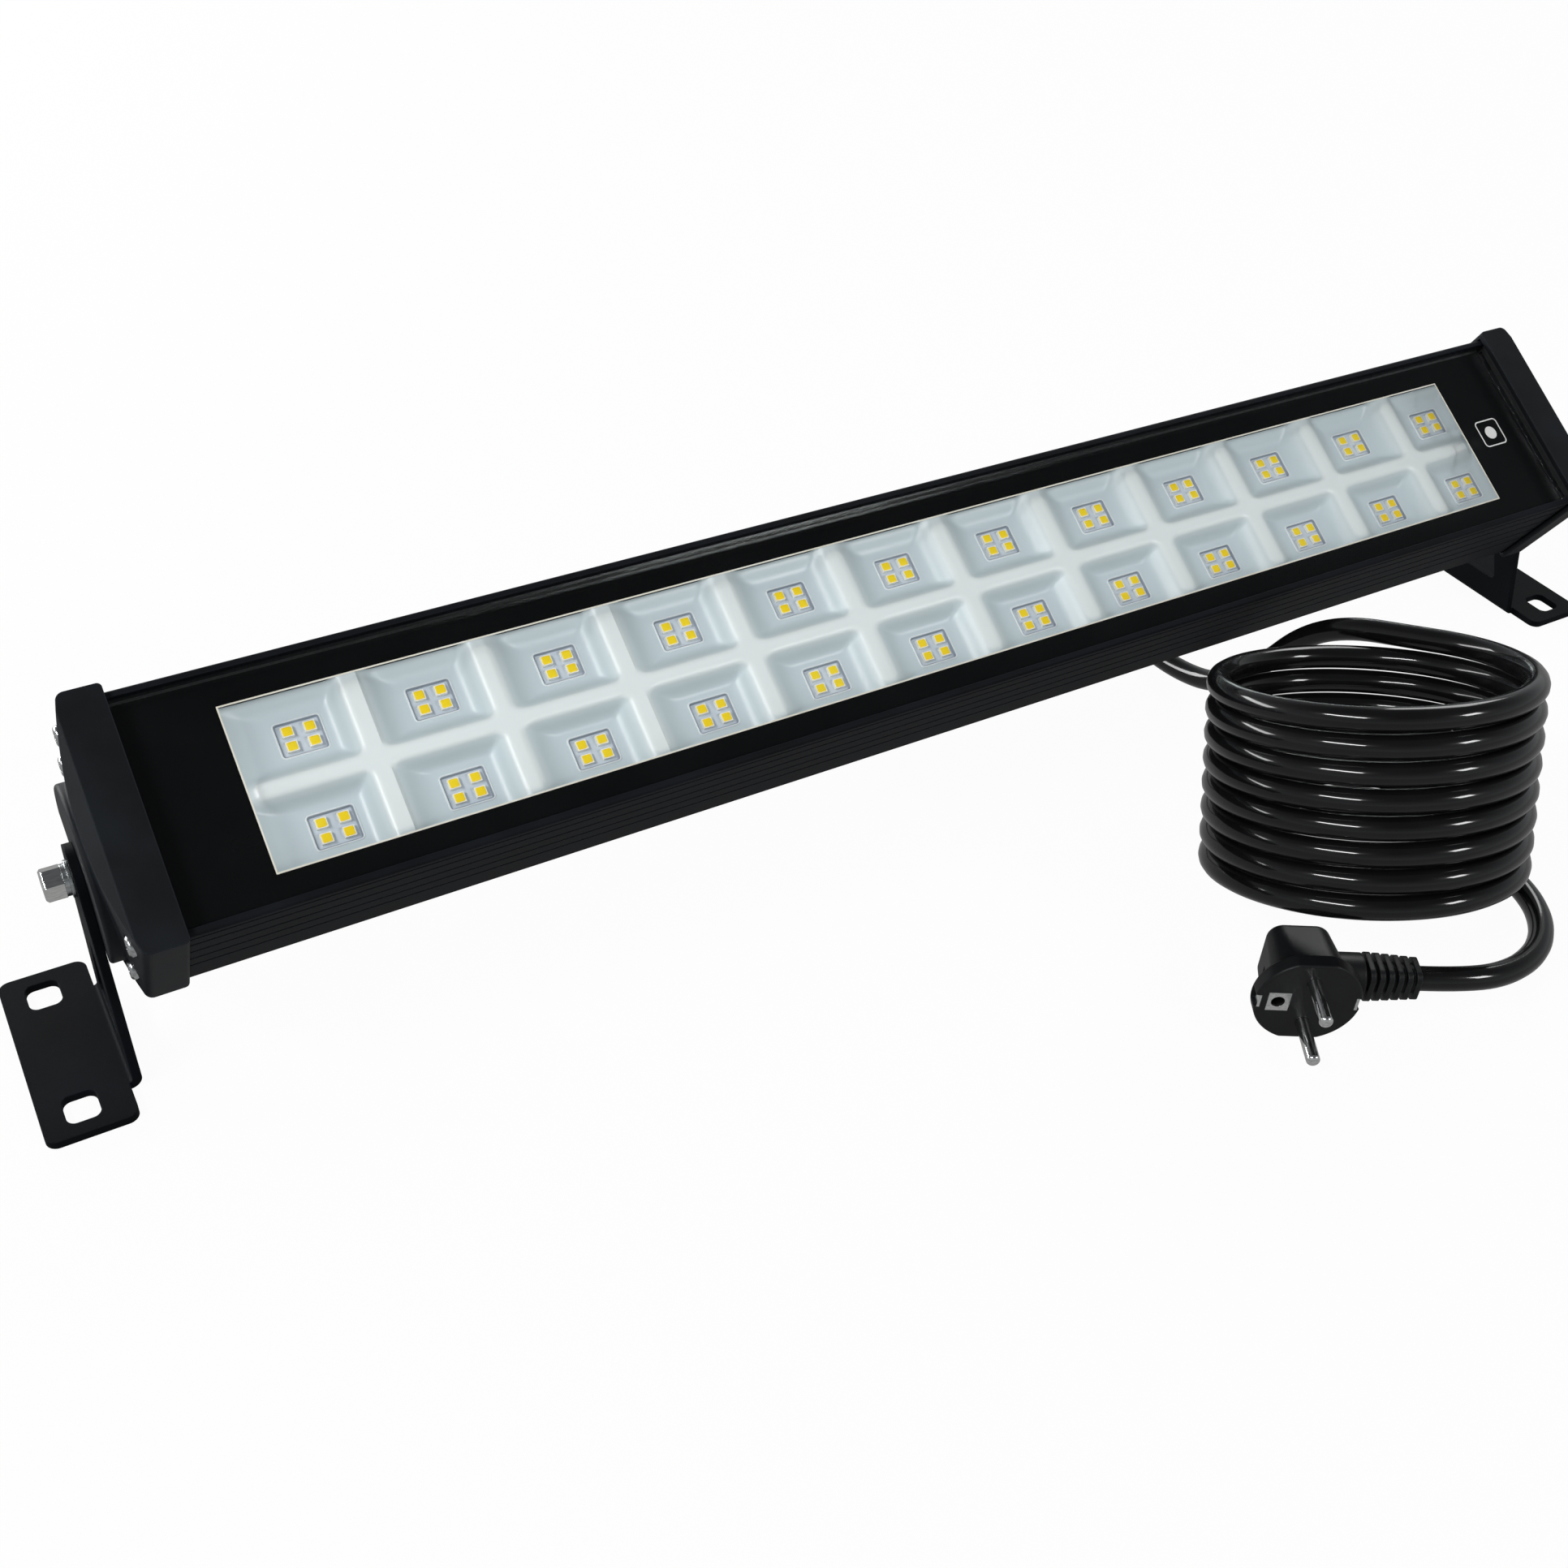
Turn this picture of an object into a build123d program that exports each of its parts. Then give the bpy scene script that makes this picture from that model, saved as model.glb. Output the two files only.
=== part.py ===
from build123d import *
import os
from math import acos, atan2, cos, degrees, hypot, pi, radians, sin, sqrt, tan

# LED flood light: a long bar lamp on two hinged feet, with its mains cord wound in a coil.
# Millimetres. The floor is Z = 0, X runs along the lamp, the glass faces up and to the front (-Y).

# Driving dimensions of the housing
housing_length = 596.0
housing_width = 83.0
housing_depth = 47.0
wall = 2.5
corner_round = 1.2

# Driving dimensions of the light
led_columns = 12
led_rows = 2
led_field_overreach = 22.6
led_field_offset = 10.5
led_end_inset = 1.1
window_end_margin = 33.3

# Driving dimensions of the stand
tilt = 32.0
pivot_drop_to_foot = 70.0
pivot_from_back = 12.5
pivot_below_middle = 2.0
sheet = 3.0

# Fits
overrun = 1.0
slide_clearance = 0.3
running_clearance = 0.1
seat_clearance = 0.05

# Housing section
web_height = 24.0
web_thickness = 3.0
back_wall = 2.5
fin_height = 4.5
fin_thickness = 1.6
fin_count = 11
ledge_reach = 3.4
ledge_thickness = 2.2
groove_width = 1.2
groove_depth = 0.9
groove_first = 3.5
lip_band = 6.0
groove_pitch = 7.5
groove_count = 4
port_radius = 3.7
port_bore_radius = 1.65
port_inset = 6.0
port_low_height = 10.3
port_high_height = 36.0

# Glass and its seal
glass_thickness = 4.0
glass_set_in = 1.5
glass_edge = 0.4
seal_thickness = 0.8
seal_width = 3.0
glass_side_margin = 2.7
glass_end_gap = 0.5

# Board, packages and reflector
pad_thickness = 0.5
pad_margin = 2.0
board_thickness = 1.6
board_end_inset = 3.0
board_side_gap = 8.5
package_length = 3.9
package_width = 3.6
package_height = 1.4
package_pitch_x = 7.5
package_pitch_y = 5.3
phosphor_length = 3.06
phosphor_width = 2.83
phosphor_depth = 0.3
tray_end_gap = 15.0
tray_side_gap = 11.5
tray_offset = 5.0
tray_height = 7.0
cell_rib_across = 5.0
cell_rib_middle = 4.4
cell_window_length = 15.2
cell_window_width = 11.9
cell_window_round = 1.0
cell_mouth_round = 3.5
cell_floor = 0.8
cell_end_reach = 2.0
cell_side_reach = 3.0
screw_shank_radius = 1.5
tray_screw_head_radius = 2.75
tray_screw_head_height = 1.8
tray_screw_inset = 3.6

# Driver chamber
driver_length = 230.0
driver_side_gap = 12.5
driver_height = 15.0
driver_shell = 1.2
driver_place_share = 0.185
driver_board_thickness = 1.6
driver_standoff = 1.5
transformer_length = 26.0
transformer_width = 22.0
transformer_height = 9.0
transformer_place_share = -0.1
capacitor_radius = 4.0
capacitor_length = 18.0
capacitor_place_shares = (0.22, 0.32)
driver_lead_hole_radius = 3.0
driver_post_radius = 3.0
driver_post_length_share = 0.8
driver_post_width_share = 0.7
terminal_length = 26.0
terminal_width = 16.0
terminal_height = 11.0
terminal_centre = 86.0
terminal_ways = 3
terminal_pitch = 5.0
terminal_screw_radius = 2.0
terminal_screw_depth = 3.0
wire_radius = 1.1
wire_pitch = 3.2
led_wire_reach = 14.0
core_return = 12.0
core_pitch = 2.7
core_bend_radius = 1.6
sheath_end_rise = 1.5

# End caps
cap_proud = 2.2
cap_front_proud = 2.5
cap_overlap = 2.0
cap_seal_thickness = 1.0
cap_corner_reach = 11.5
cap_crown = 6.0
cap_facet_drop = 4.5
cap_corner_round = 3.0
cap_shoulder_round = 1.6
cap_round = 1.3
cap_floor_thickness = 5.0
cap_pocket_margin = 4.0
cap_screw_length = 25.0
cap_screw_radius = 1.9
cap_screw_head_radius = 3.5
cap_screw_head_height = 2.6
cap_screw_recess = 1.6
cap_screw_cross = 4.4
cap_screw_slot = 0.9
cap_screw_round = 1.2
cap_seat_radius = 5.0
cap_seat_reach = 12.2
boss_radius = 29.5
boss_reach = 19.0
boss_round = 1.2
boss_edge = 0.9
column_radius = 8.0

# Pivot bolt, washers and insert
bolt_radius = 3.0
bolt_head_flats = 10.0
bolt_head_height = 6.4
bolt_head_chamfer = 0.7
bolt_length = 16.0
insert_radius = 4.5
insert_length = 12.0
flat_washer_radius = 6.2
flat_washer_thickness = 1.0
lock_washer_radius = 5.3
lock_washer_thickness = 1.5
lock_washer_slit = 1.2

# Brackets
foot_length = 79.0
foot_width = 30.7
foot_round = 4.0
foot_hole_length = 12.5
foot_hole_width = 11.0
foot_hole_round = 3.0
foot_hole_pitch = 56.0
foot_hole_from_arm = 17.3
bend_radius = 1.2
eye_radius = 11.0
arm_base_width = 50.0
arm_window_top = 25.0
arm_window_base = 9.0
arm_window_width = 27.0
arm_window_round = 2.0

# Cable gland and vent on the back
gland_x = 40.0
gland_side_margin = 21.5
gland_thread_radius = 8.0
gland_thread_length = 7.0
gland_flange_flats = 22.0
gland_flange_height = 5.0
gland_body_radius = 8.6
gland_body_height = 4.0
gland_nut_flats = 20.0
gland_nut_height = 7.0
gland_dome_height = 5.0
gland_dome_radius = 6.2
gland_washer_thickness = 1.2
lock_nut_flats = 20.0
lock_nut_height = 3.0
vent_x = 200.0
vent_radius = 6.0
vent_height = 4.0
vent_thread_radius = 4.0
vent_thread_length = 6.0
vent_slot = 1.2

# Mains cord
cord_radius = 4.5
cord_bend_share = 0.45
coil_radius = 54.0
coil_pitch = 9.52
coil_quarters = 32
coil_start_angle = 20.0
coil_end_angle = 62.0
coil_full_turns = 8
coil_lean = 22.0
coil_lean_heading = 70.5
coil_x = 101.0
coil_y = -142.0
coil_lift = 0.9
lead_first_run = 26.8
lead_last_run = 26.0
tail_end_run = 20.0

# Route of the cord from the gland, along the floor and up to the coil, between its two ends
lead_places = [
    (53.4, 65.2, 16.6),
    (76.6, 72.3, 5.4),
    (103.0, 71.5, 5.1),
    (126.0, 58.9, 5.1),
    (139.6, 35.7, 5.3),
    (140.2, 7.0, 6.2),
    (140.5, -19.0, 15.0),
    (141.0, -38.0, 37.0),
    (143.5, -52.5, 60.5),
]

# Route of the cord from the coil to the plug, between its two ends
tail_places = [
    (163.8, -128.4, 5.6),
    (169.2, -147.7, 6.4),
    (166.8, -167.6, 8.2),
    (156.9, -184.9, 10.6),
    (141.1, -197.2, 13.2),
    (121.8, -202.4, 15.4),
]

# Mains plug
plug_x = 49.1
plug_y = -169.4
plug_turn = 30.0
plug_face_radius = 18.7
plug_face_height = 35.0
plug_face_thickness = 6.0
plug_face_reach = 14.0
plug_edge = 0.8
plug_flat_round = 2.0
plug_body_width = 27.0
plug_body_height = 30.0
plug_body_depth = 21.0
plug_body_round = 8.0
plug_body_taper = 7.0
plug_back_round = 3.0
plug_neck_radius = 8.4
plug_neck_end = 21.0
pin_radius = 2.4
pin_length = 19.0
pin_root = 12.0
pin_pitch = 19.0
pin_tip = 1.4
earth_clip_width = 5.5
earth_clip_thickness = 1.0
earth_clip_depth = 5.0
earth_clip_inset = 1.2
earth_socket_radius = 2.4
earth_socket_depth = 16.0
earth_socket_reach = 10.5
earth_plate_reach = 14.2
earth_plate_inset = 6.4
earth_plate_height = 8.4
earth_plate_thickness = 0.6
relief_length = 20.0
relief_root_radius = 7.2
relief_tip_radius = 6.2
relief_core_radius = 5.4
relief_ribs = 6
relief_gap_share = 0.45

# Derived places, in the lamp's own frame: X along it, Y across it, Z from its back to its glass
half_length = housing_length / 2
half_width = housing_width / 2
window_length = housing_length - 2 * window_end_margin
glass_width = housing_width - 2 * glass_side_margin
tray_length = housing_length - 2 * tray_end_gap
tray_width = housing_width - 2 * tray_side_gap
gland_from_middle = housing_width / 2 - gland_side_margin
board_length = tray_length - 2 * board_end_inset
board_width = housing_width - 2 * board_side_gap
led_column_pitch = (window_length + led_field_overreach) / led_columns
led_row_pitch = tray_width / 2 + cell_side_reach
driver_width = housing_width - 2 * driver_side_gap
driver_centre = -driver_place_share * housing_length
pivot_height = pivot_drop_to_foot + sheet
cap_half_width = half_width + cap_proud
cap_low = -cap_proud + slide_clearance
cap_high = housing_depth + cap_front_proud
glass_top = housing_depth - glass_set_in
glass_bottom = glass_top - glass_thickness
ledge_top = glass_bottom - seal_thickness
web_top = web_height + web_thickness
board_bottom = web_top + pad_thickness
board_top = board_bottom + board_thickness
tray_top = board_top + tray_height
chamber_floor = fin_height + back_wall
port_y = half_width - port_inset
tray_left = tray_offset - tray_length / 2
lead_x = tray_left - led_wire_reach / 2
plate_face = half_length + cap_seal_thickness
boss_face = half_length + boss_reach
seat_face = half_length + cap_seat_reach
arm_inner = boss_face + running_clearance
arm_outer = arm_inner + sheet


# Turn a place of the lamp's section into one on the standing lamp, about the pivot
def turned(across, up):
    lift = radians(tilt)
    return across * cos(lift) - up * sin(lift), across * sin(lift) + up * cos(lift)


# Reach of the end cap's corners to the front and to the back, from the pivot
front_corner = turned(pivot_below_middle - cap_half_width, cap_high - pivot_from_back)[0]
rear_corner = cap_round + turned(
    cap_half_width - cap_round + pivot_below_middle, cap_low + cap_round - pivot_from_back
)[0]
pivot_y = -(front_corner + rear_corner) / 2
frame_y, frame_z = turned(-pivot_below_middle, pivot_from_back)
head = Plane(
    origin=(0, pivot_y - frame_y, pivot_height - frame_z),
    x_dir=(1, 0, 0),
    z_dir=(0, -sin(radians(tilt)), cos(radians(tilt))),
)
head_up = Axis(head.origin, head.z_dir)


# Plane parallel to the glass, at a height above the back
def level(height):
    return head.offset(height)


# Plane across the lamp at X, with the section's width and depth as its own axes
def section(x):
    return Plane(origin=head.from_local_coords(Vector(x, 0, 0)), x_dir=head.y_dir, z_dir=head.x_dir)


# Plane on the back, looking out of it, at a place along and across the lamp
def rear(x, across, height=0):
    spot = head.from_local_coords(Vector(x, across, height))
    return Plane(origin=spot, x_dir=head.x_dir, z_dir=-head.z_dir)


# Upright plane square to X, at a place in the room
def upright(x):
    return Plane(origin=(x, pivot_y, pivot_height), x_dir=(0, 1, 0), z_dir=(1, 0, 0))


os.makedirs("parts", exist_ok=True)


# Write one finished piece under its name
def keep(piece, name):
    piece.part.label = name
    export_step(piece.part, "parts/" + name + ".step")


# Places of the LED clusters, as column and row centres
column_places = [
    led_field_offset + (column - (led_columns - 1) / 2) * led_column_pitch
    for column in range(led_columns)
]
column_places[0] += led_end_inset
column_places[-1] -= led_end_inset
row_places = [(row - (led_rows - 1) / 2) * led_row_pitch for row in range(led_rows)]
cluster_places = [(x, y) for x in column_places for y in row_places]
package_places = [
    (x + along * package_pitch_x / 2, y + across * package_pitch_y / 2)
    for x, y in cluster_places
    for along in (-1, 1)
    for across in (-1, 1)
]
port_places = [(side * port_y, height) for side in (-1, 1) for height in (port_low_height, port_high_height)]
tray_screw_places = [
    (tray_offset + end * (tray_length / 2 - tray_screw_inset), y) for end in (-1, 1) for y in row_places
]

groove_heights = [housing_depth - groove_first] + [
    housing_depth - groove_first - lip_band - step * groove_pitch for step in range(groove_count)
]

# Housing: one extruded profile with a glass ledge, a web for the board, screw ports and back fins
with BuildPart() as housing_profile:
    with BuildSketch(section(-half_length)) as housing_section:
        with Locations((0, housing_depth / 2)):
            RectangleRounded(housing_width, housing_depth, corner_round)
        recess_width = glass_width + 2 * slide_clearance
        with Locations((0, (ledge_top + housing_depth + overrun) / 2)):
            Rectangle(recess_width, housing_depth + overrun - ledge_top, mode=Mode.SUBTRACT)
        inner_width = housing_width - 2 * wall
        with Locations((0, (web_top + ledge_top - ledge_thickness) / 2)):
            Rectangle(inner_width, ledge_top - ledge_thickness - web_top, mode=Mode.SUBTRACT)
        with Locations((0, ledge_top - ledge_thickness / 2)):
            mouth_width = recess_width - 2 * ledge_reach
            Rectangle(mouth_width, ledge_thickness + overrun, mode=Mode.SUBTRACT)
        with Locations((0, (chamber_floor + web_height) / 2)):
            Rectangle(inner_width, web_height - chamber_floor, mode=Mode.SUBTRACT)
        fin_pitch = (housing_width - fin_thickness) / (fin_count - 1)
        with Locations((0, (fin_height - overrun) / 2)):
            with GridLocations(fin_pitch, 0, fin_count - 1, 1):
                Rectangle(fin_pitch - fin_thickness, fin_height + overrun, mode=Mode.SUBTRACT)
        for side in (-1, 1):
            for groove_height in groove_heights:
                with Locations((side * half_width, groove_height)):
                    Rectangle(2 * groove_depth, groove_width, mode=Mode.SUBTRACT)
        with Locations(*port_places):
            Circle(port_radius)
        for side in (-1, 1):
            for height in (port_low_height, port_high_height):
                web_reach = half_width - wall / 2 - port_y
                with Locations((side * (port_y + web_reach / 2), height)):
                    Rectangle(web_reach, 2 * port_bore_radius)
        with Locations(*port_places):
            Circle(port_bore_radius, mode=Mode.SUBTRACT)
    extrude(amount=housing_length)
    with BuildSketch(rear(gland_x, gland_from_middle, -overrun)) as gland_opening:
        Circle(gland_flange_flats / sqrt(3) + slide_clearance)
    extrude(amount=-(fin_height + overrun), mode=Mode.SUBTRACT)
    with BuildSketch(rear(gland_x, gland_from_middle, -overrun)) as gland_bore:
        Circle(gland_thread_radius + running_clearance)
    extrude(amount=-(chamber_floor + 2 * overrun), mode=Mode.SUBTRACT)
    with BuildSketch(rear(vent_x, 0, -overrun)) as vent_opening:
        Circle(vent_radius + slide_clearance)
    extrude(amount=-(fin_height + overrun), mode=Mode.SUBTRACT)
    with BuildSketch(rear(vent_x, 0, -overrun)) as vent_bore:
        Circle(vent_thread_radius + running_clearance)
    extrude(amount=-(chamber_floor + 2 * overrun), mode=Mode.SUBTRACT)
    with BuildSketch(level(web_top + overrun)) as web_holes:
        with Locations(*tray_screw_places):
            Circle(screw_shank_radius + seat_clearance)
        with Locations((lead_x, 0)):
            Circle(driver_lead_hole_radius)
    extrude(amount=-(web_thickness + 2 * overrun), mode=Mode.SUBTRACT)
keep(housing_profile, "housing_profile")

# Front glass
glass_length = housing_length - 2 * glass_end_gap
with BuildPart() as front_glass:
    with BuildSketch(level(glass_bottom)) as glass_outline:
        Rectangle(glass_length, glass_width)
    extrude(amount=glass_thickness)
    chamfer(front_glass.edges().group_by(head_up)[-1], glass_edge)
keep(front_glass, "front_glass")

# Silicone seal under the glass
with BuildPart() as glass_seal:
    with BuildSketch(level(ledge_top)) as seal_outline:
        Rectangle(glass_length, glass_width)
        Rectangle(glass_length - 2 * seal_width, glass_width - 2 * seal_width, mode=Mode.SUBTRACT)
    extrude(amount=seal_thickness)
keep(glass_seal, "glass_seal")

# Thermal pad between web and board
with BuildPart() as thermal_pad:
    with BuildSketch(level(web_top)) as pad_outline:
        with Locations((tray_offset, 0)):
            Rectangle(board_length - 2 * pad_margin, board_width - 2 * pad_margin)
        with Locations(*tray_screw_places):
            Circle(screw_shank_radius + seat_clearance, mode=Mode.SUBTRACT)
    extrude(amount=pad_thickness)
keep(thermal_pad, "thermal_pad")

# LED board
with BuildPart() as led_board:
    with BuildSketch(level(board_bottom)) as board_outline:
        with Locations((tray_offset, 0)):
            Rectangle(board_length, board_width)
        with Locations(*tray_screw_places):
            Circle(screw_shank_radius + seat_clearance, mode=Mode.SUBTRACT)
    extrude(amount=board_thickness)
keep(led_board, "led_board")

# LED packages, four in each cluster
with BuildPart() as led_packages:
    with BuildSketch(level(board_top)) as package_outlines:
        with Locations(*package_places):
            Rectangle(package_length, package_width)
    extrude(amount=package_height)
    with BuildSketch(level(board_top + package_height)) as phosphor_wells:
        with Locations(*package_places):
            Rectangle(phosphor_length, phosphor_width)
    extrude(amount=-phosphor_depth, mode=Mode.SUBTRACT)
keep(led_packages, "led_packages")

# Phosphor fill of each package
with BuildPart() as led_phosphors:
    with BuildSketch(level(board_top + package_height - phosphor_depth)) as phosphor_outlines:
        with Locations(*package_places):
            Rectangle(phosphor_length, phosphor_width)
    extrude(amount=phosphor_depth)
keep(led_phosphors, "led_phosphors")

# Reflector tray: a cell round each cluster, with sloped walls up to the ribs
cell_half = (led_column_pitch - cell_rib_across) / 2
cell_side = (led_row_pitch - cell_rib_middle) / 2
left_mouth = -window_length / 2 - cell_end_reach
with BuildPart() as reflector_tray:
    with BuildSketch(level(board_top)) as tray_outline:
        with Locations((tray_offset, 0)):
            Rectangle(tray_length, tray_width)
    extrude(amount=tray_height)
    for x, y in cluster_places:
        mouth_left = left_mouth if x == column_places[0] else x - cell_half
        mouth_right = x + cell_half
        with BuildSketch(level(board_top + cell_floor)) as cell_bottom:
            with Locations((x, y)):
                RectangleRounded(cell_window_length, cell_window_width, cell_window_round)
        with BuildSketch(level(tray_top)) as cell_mouth:
            with Locations(((mouth_left + mouth_right) / 2, y)):
                RectangleRounded(mouth_right - mouth_left, 2 * cell_side, cell_mouth_round)
        loft(mode=Mode.SUBTRACT)
    with BuildSketch(level(board_top - overrun)) as cell_windows:
        with Locations(*cluster_places):
            RectangleRounded(cell_window_length, cell_window_width, cell_window_round)
    extrude(amount=2 * overrun + cell_floor, mode=Mode.SUBTRACT)
    with BuildSketch(level(board_top - overrun)) as tray_holes:
        with Locations(*tray_screw_places):
            Circle(screw_shank_radius + seat_clearance)
    extrude(amount=tray_height + 2 * overrun, mode=Mode.SUBTRACT)
keep(reflector_tray, "reflector_tray")

# Screws that hold the tray and the board on the web
with BuildPart() as tray_screws:
    with BuildSketch(level(tray_top)) as tray_screw_heads:
        with Locations(*tray_screw_places):
            Circle(tray_screw_head_radius)
    extrude(amount=tray_screw_head_height)
    with BuildSketch(level(web_height)) as tray_screw_shanks:
        with Locations(*tray_screw_places):
            Circle(screw_shank_radius)
    extrude(amount=tray_top - web_height)
keep(tray_screws, "tray_screws")

# Driver: an open case, its board with parts on it, and its lid, on the chamber floor
driver_left = driver_centre - driver_length / 2
driver_right = driver_centre + driver_length / 2
driver_board_bottom = chamber_floor + driver_shell + driver_standoff
driver_board_top = driver_board_bottom + driver_board_thickness
driver_inner_length = driver_length - 2 * driver_shell - 2 * seat_clearance
driver_inner_width = driver_width - 2 * driver_shell - 2 * seat_clearance
driver_lid_bottom = chamber_floor + driver_height - driver_shell
with BuildPart() as driver_case:
    with BuildSketch(level(chamber_floor)) as driver_base:
        with Locations((driver_centre, 0)):
            Rectangle(driver_length, driver_width)
    extrude(amount=driver_height - driver_shell)
    with BuildSketch(level(chamber_floor + driver_shell)) as driver_room:
        with Locations((driver_centre, 0)):
            Rectangle(driver_length - 2 * driver_shell, driver_width - 2 * driver_shell)
    extrude(amount=driver_height, mode=Mode.SUBTRACT)
    with BuildSketch(level(chamber_floor + driver_shell)) as driver_posts:
        with Locations((driver_centre, 0)):
            post_length = driver_post_length_share * driver_length
            with GridLocations(post_length, driver_post_width_share * driver_width, 2, 2):
                Circle(driver_post_radius)
    extrude(amount=driver_standoff)
    with BuildSketch(section(driver_right + overrun)) as supply_entry:
        with Locations((0, driver_board_top + terminal_height / 2)):
            Rectangle(terminal_ways * wire_pitch + wire_radius, 3 * wire_radius)
    extrude(amount=-(driver_shell + 2 * overrun), mode=Mode.SUBTRACT)
    with BuildSketch(section(driver_left - overrun)) as output_exit:
        with Locations((0, driver_board_top + terminal_height / 2)):
            Rectangle(2 * wire_pitch + wire_radius, 3 * wire_radius)
    extrude(amount=driver_shell + 2 * overrun, mode=Mode.SUBTRACT)
keep(driver_case, "driver_case")

with BuildPart() as driver_lid:
    with BuildSketch(level(driver_lid_bottom)) as driver_lid_outline:
        with Locations((driver_centre, 0)):
            Rectangle(driver_length, driver_width)
    extrude(amount=driver_shell)
keep(driver_lid, "driver_lid")

with BuildPart() as driver_board:
    with BuildSketch(level(driver_board_bottom)) as driver_board_outline:
        with Locations((driver_centre, 0)):
            Rectangle(driver_inner_length, driver_inner_width)
    extrude(amount=driver_board_thickness)
keep(driver_board, "driver_board")

with BuildPart() as driver_transformer:
    with BuildSketch(level(driver_board_top)) as transformer_outline:
        with Locations((driver_centre + transformer_place_share * driver_length, 0)):
            RectangleRounded(transformer_length, transformer_width, corner_round)
    extrude(amount=transformer_height)
keep(driver_transformer, "driver_transformer")

with BuildPart() as driver_capacitors:
    for place_share in capacitor_place_shares:
        capacitor_x = driver_centre + place_share * driver_length - capacitor_radius
        with BuildSketch(
            Plane(
                origin=head.from_local_coords(
                    Vector(capacitor_x, -capacitor_length / 2, driver_board_top + capacitor_radius)
                ),
                x_dir=head.x_dir,
                z_dir=head.y_dir,
            )
        ) as capacitor_end:
            Circle(capacitor_radius)
        extrude(amount=capacitor_length)
keep(driver_capacitors, "driver_capacitors")

# Terminal block for the mains supply
terminal_screw_places = [
    (terminal_centre, (way - (terminal_ways - 1) / 2) * terminal_pitch) for way in range(terminal_ways)
]
with BuildPart() as terminal_block:
    with BuildSketch(level(chamber_floor)) as terminal_outline:
        with Locations((terminal_centre, 0)):
            Rectangle(terminal_length, terminal_width)
    extrude(amount=terminal_height)
    with BuildSketch(level(chamber_floor + terminal_height)) as terminal_wells:
        with Locations(*terminal_screw_places):
            Circle(terminal_screw_radius)
    extrude(amount=-terminal_screw_depth, mode=Mode.SUBTRACT)
keep(terminal_block, "terminal_block")

# Wires inside: supply from the terminal block to the driver, and output from the driver to the board
wire_height = driver_board_top + terminal_height / 2
terminal_wire_height = chamber_floor + terminal_height / 2
with BuildPart() as supply_wires:
    for way in range(terminal_ways):
        wire_y = (way - (terminal_ways - 1) / 2) * wire_pitch
        wire_start = head.from_local_coords(Vector(driver_right - 2 * driver_shell, wire_y, wire_height))
        run = terminal_centre - terminal_length / 2 - driver_right
        wire_corners = [
            wire_start,
            head.from_local_coords(Vector(driver_right + run / 4, wire_y, wire_height)),
            head.from_local_coords(Vector(driver_right + run / 2, wire_y, terminal_wire_height)),
            head.from_local_coords(
                Vector(terminal_centre - terminal_length / 2 - seat_clearance, wire_y, terminal_wire_height)
            ),
        ]
        with BuildLine() as wire_route:
            FilletPolyline(*wire_corners, radius=2 * wire_radius)
        with BuildSketch(Plane(origin=wire_start, x_dir=head.y_dir, z_dir=head.x_dir)) as wire_end:
            Circle(wire_radius)
        sweep()
keep(supply_wires, "supply_wires")

with BuildPart() as output_wires:
    for way in (-1, 1):
        wire_y = way * wire_pitch / 2
        wire_start = head.from_local_coords(Vector(driver_left + 2 * driver_shell, wire_y, wire_height))
        wire_corners = [
            wire_start,
            head.from_local_coords(Vector(lead_x, wire_y, wire_height)),
            head.from_local_coords(Vector(lead_x, wire_y, board_top + 3 * wire_radius)),
            head.from_local_coords(
                Vector(tray_left - seat_clearance, wire_y, board_top + 3 * wire_radius)
            ),
        ]
        with BuildLine() as wire_route:
            FilletPolyline(*wire_corners, radius=2 * wire_radius)
        with BuildSketch(Plane(origin=wire_start, x_dir=head.y_dir, z_dir=-head.x_dir)) as wire_end:
            Circle(wire_radius)
        sweep()
keep(output_wires, "output_wires")

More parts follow.
